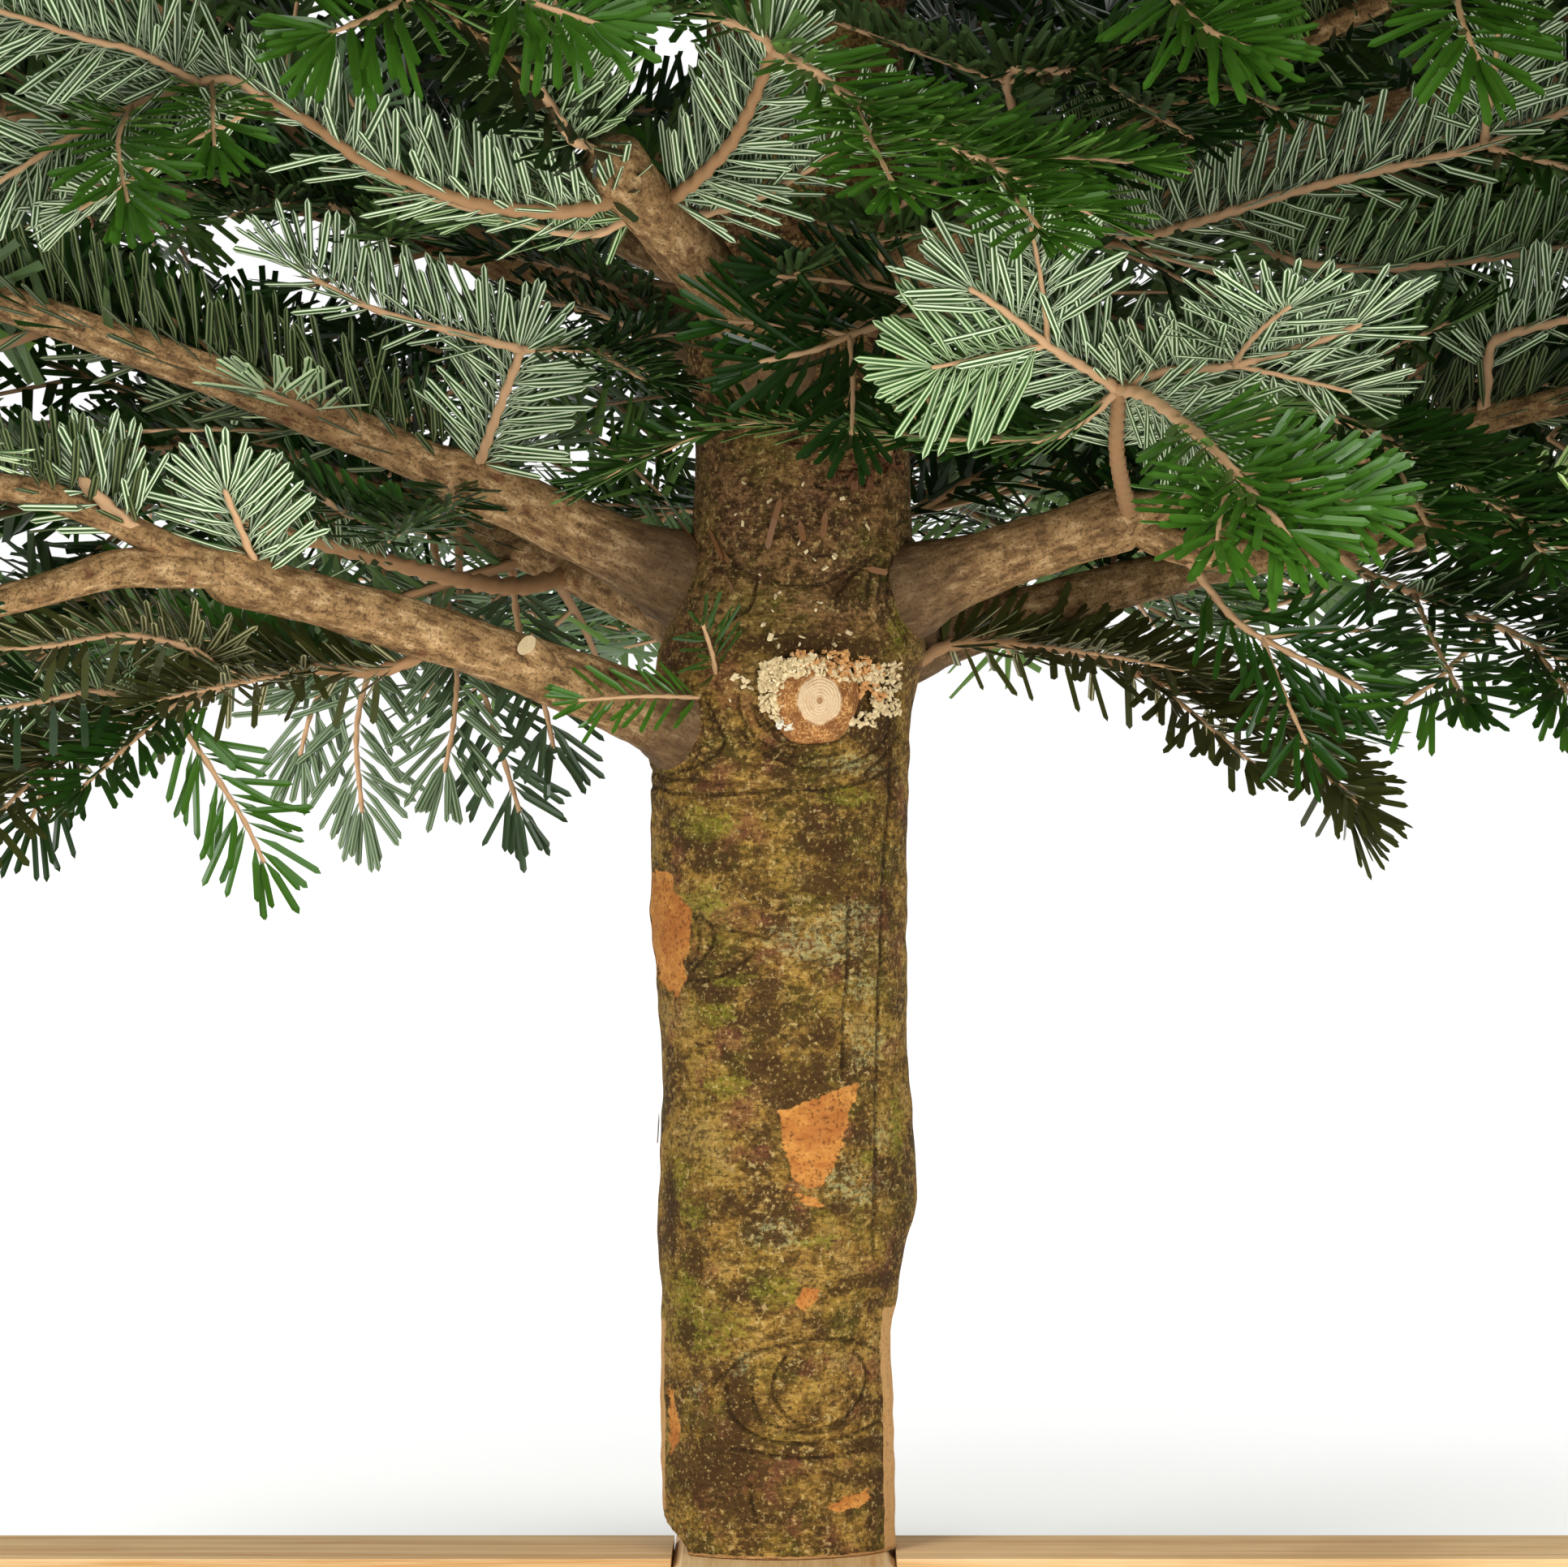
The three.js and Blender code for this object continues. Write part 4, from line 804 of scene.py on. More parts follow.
# Shoots that the picture shows one by one. Each row: where it grows from, which is a
# limb and a distance from the axis or else its own first point; its points as pixels
# and depths; radii; tint; size of needles; how they lie; which way they face; share
# without needles; and whether it has side twigs
SHOOTS = [
    # left, on bough b and what forks from its shoot
    (("1b", 98), [(612, 512, -34), (643, 431, -50)],
     (1.7, 1.4), GREY, 1.1, "flat", "pale", 0.12, 0),
    (None, [(643, 431, -50), (571, 412, -54), (469, 384, -58), (408, 355, -62), (352, 322, -64)],
     (1.5, 0.8), GREY, 1.0, "raised", "comb", 0.04, 0),
    (None, [(643, 431, -50), (700, 430, -52), (760, 440, -54), (816, 468, -54)],
     (1.2, 0.7), DEEP, 0.75, "flat", "level", 0.05, 1),
    (("1b", 104), [(540, 636, -40), (446, 641, -56), (379, 601, -64)],
     (1.5, 0.8), DEEP, 0.9, "flat", "level", 0.1, 1),
    # left, on bough a
    (("1a", 182), [(300, 660, -112), (277, 605, -122)],
     (1.5, 0.9), GREY, 1.05, "flat", "pale", 0.05, 0),
    (("1a", 222), [(135, 625, -132), (102, 593, -138)],
     (2.0, 1.9), GREY, 1.1, "raised", "pale", 0.1, 0),
    (("1a", 118), [(470, 826, -62), (370, 824, -64), (286, 837, -64), (192, 869, -62),
     (100, 915, -60), (0, 960, -60), (-70, 990, -60)],
     (2.2, 1.0), BROWN, 0.95, "shaggy", "level", 0.1, 1),
    (None, [(286, 837, -64), (225, 880, -54), (262, 950, -52), (300, 1010, -54), (325, 1062, -56)],
     (1.3, 0.7), FRESH, 0.95, "loose", "green", 0.1, 0),
    (None, [(192, 869, -62), (120, 852, -80), (40, 866, -92), (-50, 880, -100)],
     (1.3, 0.7), DEEP, 0.95, "shaggy", "level", 0.05, 0),
    (None, [(100, 915, -60), (62, 960, -62), (38, 1010, -64)],
     (1.1, 0.7), DEEP, 0.95, "loose", "green", 0.05, 0),
    (None, [(286, 837, -64), (236, 800, -84), (150, 782, -98), (60, 796, -108), (-30, 800, -112)],
     (1.3, 0.7), BROWN, 0.95, "shaggy", "level", 0.05, 0),
    (("1c", 180), [(570, 760, 126), (604, 880, 104), (640, 1000, 98)],
     (1.5, 0.8), MIST, 1.05, "loose", "green", 0.3, 0),
    (("1c", 200), [(560, 790, 116), (560, 880, 100), (548, 950, 92)],
     (1.4, 0.8), MIST, 1.05, "loose", "pale", 0.3, 0),
    (("1c", 230), [(470, 760, 156), (440, 890, 140), (446, 1000, 136)],
     (1.5, 0.8), MIST, 1.05, "loose", "pale", 0.25, 0),
    (("1c", 260), [(420, 790, 150), (386, 870, 144), (370, 930, 140)],
     (1.4, 0.8), MIST, 1.05, "loose", "pale", 0.25, 0),
    (("1c", 150), [(640, 780, 100), (668, 860, 84), (682, 920, 78)],
     (1.4, 0.8), MIST, 1.05, "loose", "green", 0.2, 0),
    (("1c", 300), [(250, 700, 210), (140, 770, 180), (20, 810, 170), (-60, 820, 170)],
     (1.9, 0.8), GREY, 1.0, "shaggy", "level", 0.1, 1),
    (("1c", 112), [(640, 722, 74), (560, 713, 52), (470, 690, 36), (388, 668, 26), (286, 640, 20),
     (200, 618, 16)],
     (3.4, 1.6), DEEP, 0.9, "shaggy", "level", 0.5, 0),
    # by the trunk's left edge
    (None, [(884, 846, -26), (878, 808, -44), (866, 770, -56)],
     (0.9, 0.6), GREEN, 0.66, "loose", "green", 0.2, 0),
    (None, [(884, 861, -26), (800, 858, -44), (713, 863, -54)],
     (0.8, 0.5), FRESH, 0.66, "loose", "green", 0.12, 0),
    # upper left, on bough a of the second whorl
    (("2a", 148), [(740, 252, -152), (683, 261, -158), (600, 253, -166), (531, 233, -172),
     (449, 200, -178), (388, 155, -184), (322, 118, -188)],
     (2.5, 1.5), GREY, 1.05, "raised", "comb", 0.03, 0),
    (("2a", 176), [(704, 170, -190), (660, 104, -206), (590, 40, -224), (500, -30, -246)],
     (1.8, 0.9), DEEP, 1.0, "raised", "comb", 0.05, 0),
    (("2a", 172), [(712, 120, -186), (690, 60, -200), (680, -20, -216)],
     (1.6, 0.9), GREEN, 1.0, "raised", "comb", 0.05, 0),
    (("2a", 132), [(724, 290, -126), (600, 262, -140), (500, 235, -150)],
     (1.5, 0.8), GREEN, 0.95, "raised", "comb", 0.05, 0),
    (None, [(322, 118, -188), (286, 98, -194), (245, 102, -200), (163, 131, -208), (82, 171, -216),
     (30, 205, -222), (-30, 240, -226)],
     (1.5, 0.8), GREY, 1.0, "raised", "pale", 0.02, 0),
    (None, [(322, 118, -188), (294, 143, -192), (224, 180, -202), (163, 220, -210),
     (98, 257, -216)],
     (1.2, 0.7), GREY, 0.95, "flat", "comb", 0.05, 0),
    (("2a", 290), [(510, -6, -290), (462, 18, -300), (400, 44, -306)],
     (1.3, 0.7), FRESH, 1.1, "flat", "green", 0.1, 0),
    (("2a", 250), [(610, -10, -256), (670, 8, -264), (740, 30, -268)],
     (1.3, 0.7), FRESH, 1.05, "flat", "green", 0.15, 0),
    (("2f", 110), [(457, 268, 0), (367, 245, -12), (286, 226, -20), (212, 204, -26),
     (120, 186, -30)],
     (1.8, 0.8), DEEP, 1.0, "flat", "level", 0.05, 1),
    (None, [(245, 102, -200), (163, 61, -232), (114, 50, -242), (8, 16, -252), (-60, 0, -258)],
     (1.3, 0.7), GREY, 1.1, "raised", "pale", 0.05, 0),
    (None, [(163, 131, -208), (146, 168, -228), (150, 215, -234), (158, 250, -238)],
     (0.9, 0.6), FRESH, 0.9, "flat", "green", 0.1, 0),
    (None, [(262, 101, -198), (262, 140, -216), (264, 180, -222)],
     (0.9, 0.6), FRESH, 0.8, "flat", "green", 0.1, 0),
    (("2a", 128), [(838, 238, -130), (865, 216, -138), (903, 174, -150), (932, 116, -166),
     (952, 62, -178)],
     (2.4, 1.6), GREY, 1.15, "raised", "pale", 0.08, 0),
    (None, [(952, 62, -178), (932, 41, -184), (860, 15, -188), (799, 0, -192), (730, -30, -196)],
     (1.5, 0.9), GREEN, 1.1, "flat", "level", 0.02, 1),
    (("2a", 112), [(853, 269, -112), (932, 245, -122), (998, 207, -128), (1093, 153, -134)],
     (1.6, 0.8), GREY, 1.0, "raised", "comb", 0.08, 0),
    (None, [(952, 62, -178), (1003, 89, -192), (1089, 148, -202), (1169, 179, -210),
     (1237, 209, -216), (1299, 246, -220), (1345, 262, -222)],
     (1.7, 0.8), FRESH, 1.0, "flat", "level", 0.05, 1),
    (("2a", 60), [(944, 356, -84), (985, 335, -100)],
     (0.9, 0.6), DEEP, 0.8, "flat", "level", 0.1, 0),
    (("2f", 44), [(737, 346, -8), (662, 323, -16), (590, 312, -20)],
     (1.2, 0.7), DEEP, 0.85, "flat", "level", 0.05, 0),
    (("2f", 40), [(790, 406, -6), (720, 380, -14), (650, 372, -20)],
     (1.2, 0.7), DEEP, 0.85, "flat", "level", 0.05, 0),
    # in front of the trunk
    (("2b", 50), [(1160, 372, -70), (1056, 410, -96), (1006, 431, -106), (936, 446, -112)],
     (1.6, 0.8), DEEP, 1.1, "loose", "green", 0.15, 1),
    (None, [(1379, 480, -140), (1330, 520, -134), (1274, 542, -128), (1114, 536, -112),
     (990, 524, -100), (900, 524, -92), (805, 560, -86), (736, 591, -82)],
     (1.5, 0.7), GREEN, 0.85, "flat", "level", 0.02, 0),
    (None, [(1090, 556, -26), (1110, 522, -44), (1163, 480, -70), (1230, 444, -96)],
     (2.6, 1.4), GREEN, 0.9, "flat", "level", 0.35, 0),
    (("2b", 40), [(1089, 275, -66), (1172, 215, -84), (1240, 180, -96)],
     (1.3, 0.7), GREEN, 0.95, "flat", "level", 0.1, 1),
    # right, on bough e and what forks in front of it
    (("1e", 107), [(1385, 606, -56), (1376, 554, -96), (1379, 480, -140)],
     (2.6, 2.1), GREY, 1.0, "flat", "pale", 0.6, 0),
    (None, [(1379, 480, -140), (1340, 455, -150), (1299, 431, -158), (1240, 385, -166),
     (1196, 356, -172)],
     (1.8, 0.9), GREY, 1.25, "raised", "pale", 0.02, 1),
    (None, [(1379, 480, -140), (1430, 459, -152), (1520, 450, -166), (1613, 425, -176),
     (1676, 400, -182)],
     (1.8, 0.9), GREY, 1.25, "flat", "comb", 0.02, 1),
    (None, [(1379, 480, -140), (1410, 487, -156), (1453, 517, -172), (1480, 540, -180)],
     (2.0, 1.6), GREY, 1.2, "raised", "pale", 0.02, 0),
    (None, [(1453, 517, -172), (1496, 554, -188), (1557, 622, -206), (1590, 664, -212)],
     (1.7, 1.0), FRESH, 1.15, "flat", "green", 0.02, 1),
    (("1e", 140), [(1570, 500, -72), (1640, 512, -82), (1705, 542, -90), (1767, 573, -98),
     (1853, 628, -108), (1932, 650, -116), (2000, 662, -120)],
     (2.0, 1.0), GREEN, 1.1, "flat", "level", 0.12, 1),
    (("2b", 220), [(1560, -40, -216), (1440, -24, -240), (1480, 30, -254), (1540, 60, -262)],
     (1.7, 0.8), FRESH, 1.1, "flat", "green", 0.2, 0),
    (("2b", 270), [(1790, -30, -222), (1800, 20, -234), (1822, 74, -240)],
     (1.3, 0.7), FRESH, 1.1, "flat", "green", 0.1, 0),
    (("2b", 110), [(1240, 100, -112), (1290, 88, -128), (1397, 92, -140), (1520, 100, -148),
     (1631, 105, -154)],
     (1.5, 0.8), DEEP, 1.05, "flat", "level", 0.15, 1),
    (("2c", 84), [(1400, 290, -44), (1484, 271, -70), (1582, 240, -80), (1675, 216, -86),
     (1829, 179, -94), (1932, 136, -100), (2010, 100, -104)],
     (1.9, 1.2), GREY, 1.05, "raised", "comb", 0.1, 0),
    (None, [(1829, 179, -94), (1832, 150, -104), (1841, 92, -118), (1846, 40, -128)],
     (1.5, 0.9), GREY, 1.15, "raised", "pale", 0.05, 0),
    (None, [(1835, 182, -94), (1932, 206, -102), (2010, 224, -106)],
     (1.1, 0.8), GREEN, 1.0, "flat", "level", 0.05, 0),
    (("2c", 122), [(1560, 306, -30), (1632, 327, -46), (1730, 330, -54), (1932, 305, -62),
     (2010, 290, -66)],
     (1.6, 1.0), GREEN, 1.05, "raised", "comb", 0.1, 0),
    (("1e", 215), [(1832, 474, -66), (1838, 425, -72), (1878, 407, -78), (1932, 394, -84),
     (2000, 380, -88)],
     (2.0, 1.1), GREY, 1.05, "raised", "comb", 0.2, 0),
    (None, [(1116, 826, -4), (1180, 793, 10), (1312, 801, 24), (1418, 835, 30), (1503, 870, 34),
     (1599, 904, 38), (1640, 960, 40), (1668, 1010, 42)],
     (2.3, 0.9), BROWN, 1.0, "shaggy", "level", 0.1, 1),
    (None, [(1459, 684, -30), (1519, 761, -42), (1580, 800, -46), (1640, 828, -48),
     (1680, 850, -50)],
     (1.4, 0.8), GREEN, 1.0, "loose", "green", 0.15, 1),
    (None, [(1644, 678, -22), (1680, 706, -30), (1753, 734, -42), (1843, 771, -52),
     (1932, 814, -58), (2000, 842, -62)],
     (1.8, 1.0), DEEP, 1.05, "shaggy", "level", 0.1, 1),
    (None, [(1843, 771, -52), (1827, 782, -54), (1774, 835, -62), (1731, 867, -68)],
     (1.1, 0.7), FRESH, 1.0, "loose", "green", 0.15, 0),
    (None, [(1932, 814, -58), (1936, 836, -64), (1910, 862, -72)],
     (1.1, 0.7), FRESH, 0.95, "loose", "green", 0.1, 0),
    # beyond the picture's edges, where the stout branches go on
    (None, [(-90, 768, -158), (-240, 796, -176), (-420, 800, -196), (-600, 790, -214)],
     (3.6, 0.9), GREEN, 1.0, "flat", "level", 0.02, 1),
    (None, [(2060, 626, -22), (2200, 612, -26), (2340, 604, -30), (2480, 604, -34)],
     (3.2, 0.9), GREEN, 1.0, "flat", "level", 0.02, 1),
]
# Bare branches as stout as limbs: where they grow from, points, radii, whether sawn off
BRANCHES = [
    (("1a", 198), [(147, 701, -120), (70, 722, -132), (0, 741, -144), (-90, 768, -158)],
     (6.4, 3.8), False),
    (("1e", 104), [(1459, 676, -30), (1550, 684, -26), (1644, 678, -22), (1767, 653, -20),
     (1932, 641, -20), (2060, 626, -22)], (5.6, 3.2), False),
    (("1a", 82), [(662, 806, -58), (645, 792, -64)], (3.6, 3.3), True),
    (("2a", 158), [(744, 190, -150), (741, 172, -152)], (4.2, 3.2), True),
]
# Dark needles on the near boughs themselves, their darkness painted shade: limb, from where to
# where, size, how they lie
STANDING = [
    ("1b", 108, 300, 1.1, "raised"),
    ("1a", 225, 300, 1.0, "raised"),
    ("1e", 120, 240, 0.9, "raised"),
    ("1f", 130, 190, 0.8, "raised"),
    ("1c", 130, 190, 0.8, "raised"),
    ("2a", 168, 400, 1.0, "brush"),
    ("2a", 180, 400, 0.8, "shaggy"),
    ("2b", 86, 420, 1.0, "brush"),
    ("2b", 96, 420, 0.8, "shaggy"),
]
# Side twigs of the shoots above: pitch, length, share of what's left of the shoot, spare,
# least share without any, and where they end
SIDE_PITCH, SIDE_LENGTH, SIDE_SHARE, SIDE_SPARE, SIDE_FROM, SIDE_TO = 34.0, 62.0, 0.4, 24, 0.12, 0.9
SIDE_LIFT, SIDE_LENGTHS, SIDE_SAME_TINT, SIDE_SIZE = (-0.2, 0.25), (0.7, 1.1), 0.7, 0.92
SIDE_THICK, SIDE_BARE = (0.9, 0.6), 0.04
STANDING_OUT, STANDING_POINTS = 1.6, 12
NEAR_DICE, NEAR_SEED, STUB_SEED, LEADER_SEED = 4242, 77, 31, 9


def all_limbs():
    """The limbs of the two lowest whorls by name."""
    return {limb.label: limb for index in range(len(BOUGHS)) for limb in whorl_limbs(index)}


def feature_line(root, points, limbs):
    places = [seen(*point) for point in points]
    if root:
        places.insert(0, limbs[root[0]].point(root[1]))
    return curve_through(places, 6)


def feature_twigs():
    """The shoots that the picture shows one by one, with their side twigs."""
    limbs = all_limbs()
    dice = Dice(NEAR_DICE)
    made = []
    for root, points, thick, tint, size, style, facing, bare, sides in SHOOTS:
        line = feature_line(root, points, limbs)
        detail = 3 if facing in ("green", "level") and style in ("flat", "loose") else 2
        twig = Twig(line, FACING[facing], thick, tint, bare, size, detail, style)
        made.append(twig)
        lie = "loose" if style == "loose" else "flat"
        start = max(bare, SIDE_FROM)
        count = int(twig.length * (SIDE_TO - start) / SIDE_PITCH) if sides else 0
        for i in range(count):
            share = start + (SIDE_TO - start) * (i + 0.5) / count
            length = min(SIDE_LENGTH, SIDE_SHARE * (1 - share) * twig.length + SIDE_SPARE)
            for hand in (-1, 1):
                angle = math.radians(dice.between(*SIDE_TWIG_ANGLE))
                place, along = (value[0] for value in twig.at(share))
                across = unit(np.cross(along, twig.up))
                direction = along * math.cos(angle) + across * hand * math.sin(angle)
                direction = unit(direction + twig.up * dice.between(*SIDE_LIFT))
                end = shoot_line(place, direction, along, length * dice.between(*SIDE_LENGTHS))
                kept = tint if dice.next() < SIDE_SAME_TINT else GREEN
                looks = (SIDE_THICK, kept, SIDE_BARE, size * SIDE_SIZE, detail, lie)
                made.append(Twig(end, twig.up, *looks))
    for name, start, end, size, style in STANDING:
        limb = limbs[name]
        line = limb.point(np.linspace(start, end, STANDING_POINTS))
        thick = [float(limb.thickness(place)) * STANDING_OUT for place in (start, end)]
        # Their tint is the deep one darkened with painted shade
        made.append(Twig(line, (0, 0.3, 1), thick, DEEP_IN_SHADE, 0, size, 2, style, wood=False))
    return made


# Meshes and pieces
def mesh_piece(name, arrays, materials, nodes, smooth=False):
    """One joined piece from arrays in millimetres."""
    places, triangles, numbers = arrays
    mesh = bpy.data.meshes.new(name)
    mesh.vertices.add(len(places))
    mesh.vertices.foreach_set("co", (places * MM).astype(np.float32).ravel())
    mesh.loops.add(3 * len(triangles))
    mesh.loops.foreach_set("vertex_index", triangles.astype(np.int32).ravel())
    mesh.polygons.add(len(triangles))
    mesh.polygons.foreach_set("loop_start", np.arange(0, 3 * len(triangles), 3, dtype=np.int32))
    mesh.polygons.foreach_set("material_index", numbers.astype(np.int32))
    mesh.polygons.foreach_set("use_smooth", np.full(len(triangles), smooth))
    mesh.update(calc_edges=True)
    return placed(name, mesh, materials, nodes)


def placed(name, mesh, materials, nodes):
    """A piece at the origin that rides on the tree and stands for its nodes."""
    for material in materials:
        mesh.materials.append(material)
    piece = bpy.data.objects.new(name, mesh)
    bpy.context.scene.collection.objects.link(piece)
    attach(piece, "root")
    if nodes:
        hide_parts(*nodes)
    return piece


SAME_PLACE = 1e-5


def turned(rings, segments):
    """A closed drum of unit radius by spinning its profile; its z counts the rings."""
    bm = bmesh.new()
    corners = [(0, 0, 0)] + [(1, 0, ring) for ring in range(rings)] + [(0, 0, rings - 1)]
    line = [bm.verts.new(corner) for corner in corners]
    edges = [bm.edges.new(pair) for pair in zip(line, line[1:])]
    bmesh.ops.spin(
        bm, geom=line + edges, cent=(0, 0, 0), axis=(0, 0, 1),
        angle=2 * math.pi, steps=segments, use_merge=True,
    )
    bmesh.ops.remove_doubles(bm, verts=bm.verts, dist=SAME_PLACE)
    bmesh.ops.recalc_face_normals(bm, faces=bm.faces)
    return bm


def drum_places(bm):
    """Ring, angle and share of the radius of each corner of a drum."""
    places = np.array([vert.co[:] for vert in bm.verts])
    angle = np.arctan2(places[:, 1], places[:, 0])
    return np.rint(places[:, 2]).astype(int), angle, np.rint(np.hypot(places[:, 0], places[:, 1]))


def mesh_from_drum(name, bm, places):
    mesh = bpy.data.meshes.new(name)
    bm.to_mesh(mesh)
    bm.free()
    mesh.vertices.foreach_set("co", (places * MM).astype(np.float32).ravel())
    mesh.polygons.foreach_set("use_smooth", np.full(len(mesh.polygons), True))
    mesh.update()
    return mesh


def float_attribute(mesh, name, values):
    mesh.attributes.new(name, "FLOAT", "POINT").data.foreach_set("value", values.astype(np.float32))


def vector_attribute(mesh, name, values):
    attribute = mesh.attributes.new(name, "FLOAT_VECTOR", "POINT")
    attribute.data.foreach_set("vector", values.astype(np.float32).ravel())


# Materials
BARK_GLOSS = 0.12


def shade(code):
    """A colour code as linear red, green and blue."""
    channels = [(code >> shift & 255) / 255 for shift in (16, 8, 0)]
    return tuple(c / 12.92 if c <= 0.04045 else ((c + 0.055) / 1.055) ** 2.4 for c in channels)


def as_colour(value):
    """A colour for a node: a socket, or the four channels of a code or of three channels."""
    if isinstance(value, bpy.types.NodeSocket):
        return value
    return (*(shade(value) if isinstance(value, int) else value), 1)


class Paint:
    """A procedural material in the making."""

    def __init__(self, name):
        self.material = bpy.data.materials.new(name)
        self.material.use_nodes = True
        self.tree = self.material.node_tree
        self.shader = self.tree.nodes["Principled BSDF"]

    def node(self, kind, inputs=None, **settings):
        made = self.tree.nodes.new(kind)
        for key, value in settings.items():
            setattr(made, key, value)
        for socket, value in (inputs or {}).items():
            if isinstance(value, bpy.types.NodeSocket):
                self.tree.links.new(value, made.inputs[socket])
            else:
                made.inputs[socket].default_value = value
        return made

    def place(self):
        return self.node("ShaderNodeTexCoord").outputs["Object"]

    def mark(self, name, output="Fac"):
        """A mesh attribute."""
        return self.node("ShaderNodeAttribute", attribute_name=name).outputs[output]

    def stretched(self, vector, scale, turn=(0, 0, 0)):
        inputs = {"Vector": vector, "Scale": scale, "Rotation": turn}
        return self.node("ShaderNodeMapping", inputs).outputs[0]

    def noise(self, vector, scale, detail=4.0, rough=0.55, stretch=None):
        if stretch:
            vector = self.stretched(vector, stretch)
        inputs = {"Vector": vector, "Scale": scale, "Detail": detail, "Roughness": rough}
        return self.node("ShaderNodeTexNoise", inputs).outputs["Fac"]

    def span(self, value, low, high, start=0.0, end=1.0):
        """Maps a value from one range to another, and keeps it there."""
        inputs = {
            "Value": value, "From Min": low, "From Max": high, "To Min": start, "To Max": end,
        }
        return self.node("ShaderNodeMapRange", inputs).outputs[0]

    def maths(self, operation, a, b=0.0):
        return self.node("ShaderNodeMath", {0: a, 1: b}, operation=operation).outputs[0]

    def times(self, a, b):
        return self.maths("MULTIPLY", a, b)

    def plus(self, value, *parts):
        """Adds parts to a value, each a socket and its weight."""
        for part, weight in parts:
            value = self.maths("ADD", value, part if weight == 1 else self.times(part, weight))
        return value

    def minus(self, value, part, weight=1):
        return self.maths("SUBTRACT", value, part if weight == 1 else self.times(part, weight))

    def ragged(self, field, grain, edge=0.08, amount=1.1):
        """A mask with a ragged edge from a soft field and a noise."""
        rough = self.plus(field, (self.minus(grain, 0.5), amount))
        return self.span(rough, 0.5 - edge, 0.5 + edge)

    def mix(self, factor, low, high):
        inputs = {0: factor, 6: as_colour(low), 7: as_colour(high)}
        return self.node("ShaderNodeMix", inputs, data_type="RGBA").outputs[2]

    def coats(self, colour, *coats):
        """Coats over a colour, each a field, the span in which it covers or None, and a colour."""
        for field, bounds, coat in coats:
            colour = self.mix(self.span(field, *bounds) if bounds else field, colour, coat)
        return colour

    def finish(self, colour, roughness, height=None, depth=0.0):
        """Gives the shader its colour and gloss, and a fine relief where there's a height."""
        self.tree.links.new(colour, self.shader.inputs["Base Color"])
        self.shader.inputs["Roughness"].default_value = roughness
        if height is not None:
            self.shader.inputs["Specular IOR Level"].default_value = BARK_GLOSS
            inputs = {"Height": height, "Strength": 1.0, "Distance": depth}
            bump = self.node("ShaderNodeBump", inputs)
            self.tree.links.new(bump.outputs[0], self.shader.inputs["Normal"])
        return self.material


# Sawn stub: height over the cut, way it faces, segments, sink into the trunk and height
# by width; and its profile as radius and height over the bark
STUB_HEIGHT, STUB_AZIMUTH, STUB_SEGMENTS, STUB_SINK, STUB_OVAL = 260.0, 285.0, 72, 0.4, 1.08
STUB_PROFILE = [
    (0.4, 4.3), (2, 4.4), (4.4, 4.2), (6.5, 4.1), (7.1, 3.6), (8.6, 3.4), (10.4, 2.9), (12, 1.8),
    (13, -0.5), (13.2, -5),
]
# Heaps of crumbs from the saw: middle, half sizes, count, tone, and height over the bark
CRUMB_HEAPS = [
    (952, 846, 15, 30, 210, "cream", 2.4), (970, 824, 22, 12, 110, "cream", 2.8),
    (1002, 820, 28, 13, 90, "cream", 3.0), (1010, 812, 34, 10, 60, "orange", 2.6),
    (1046, 822, 26, 12, 70, "orange", 2.8), (1056, 828, 22, 12, 50, "cream", 3.0),
    (1092, 850, 16, 32, 170, "cream", 2.0), (1074, 840, 16, 22, 60, "orange", 2.4),
    (962, 872, 12, 16, 60, "cream", 2.2), (974, 892, 15, 8, 44, "white", 2.2),
    (1004, 900, 5, 6, 10, "orange", 2.2), (1062, 886, 18, 8, 40, "cream", 2.2),
    (900, 845, 26, 20, 10, "cream", 0.5), (1000, 760, 60, 40, 14, "cream", 0.4),
    (985, 650, 90, 60, 14, "cream", 0.3),
]
CRUMB_TONES = {"cream": 0xEAD6AC, "orange": 0xD6A066, "white": 0xF4EFDF, "flake": 0x6E4A33}
# Their full size and its shares, how torn and how flat they lie, and how far in and out
CRUMB_SIZE, CRUMB_SIZES = (1.9, 1.2, 0.6), (0.4, 1.25)
CRUMB_TORN, CRUMB_LEVEL, CRUMB_DEPTH = 0.3, 1.5, 0.7
# Curled scales of bark: middle, half sizes and count
FLAKES = [(1046, 580, 30, 20, 26), (1092, 568, 18, 12, 18), (1010, 548, 40, 10, 12)]
FLAKE_PROUD, FLAKE_SIZE = 0.6, (3.2, 2.2, 0.35)
# Dry needles that hang on the bark: height over it, bend and width; and from pixel to pixel
DRY_PROUD, DRY_BEND, DRY_WIDTH = (1.2, 1.6), (-0.06, 0.1), 2.0
DRY_NEEDLES = [
    (830, 631, 863, 685), (871, 647, 892, 690), (808, 637, 820, 680), (958, 624, 945, 677),
    (1018, 628, 1013, 664), (880, 668, 902, 694), (962, 612, 955, 640), (866, 675, 907, 728),
    (812, 1368, 809, 1410), (1066, 700, 1092, 706), (985, 640, 990, 668),
]

# First guess of the depth of the trunk's front, and how many times it is bettered
FRONT_GUESS, FRONT_STEPS = -35.0, 4


def on_trunk(px, py, proud):
    """The place over the trunk's front that the picture shows at a pixel, and the way out."""
    depth = FRONT_GUESS
    for _ in range(FRONT_STEPS):
        place = seen(px, py, depth)
        height = place[2] - CUT_LEVEL
        middle, widening = fitted_edges(height)
        across = (place[0] - float(middle)) / float(widening)
        depth = -math.sqrt(max((float(trunk_radius(height)) + proud) ** 2 - across ** 2, 4))
    place = seen(px, py, depth)
    return place, unit(np.array([across, depth, 0.0]))


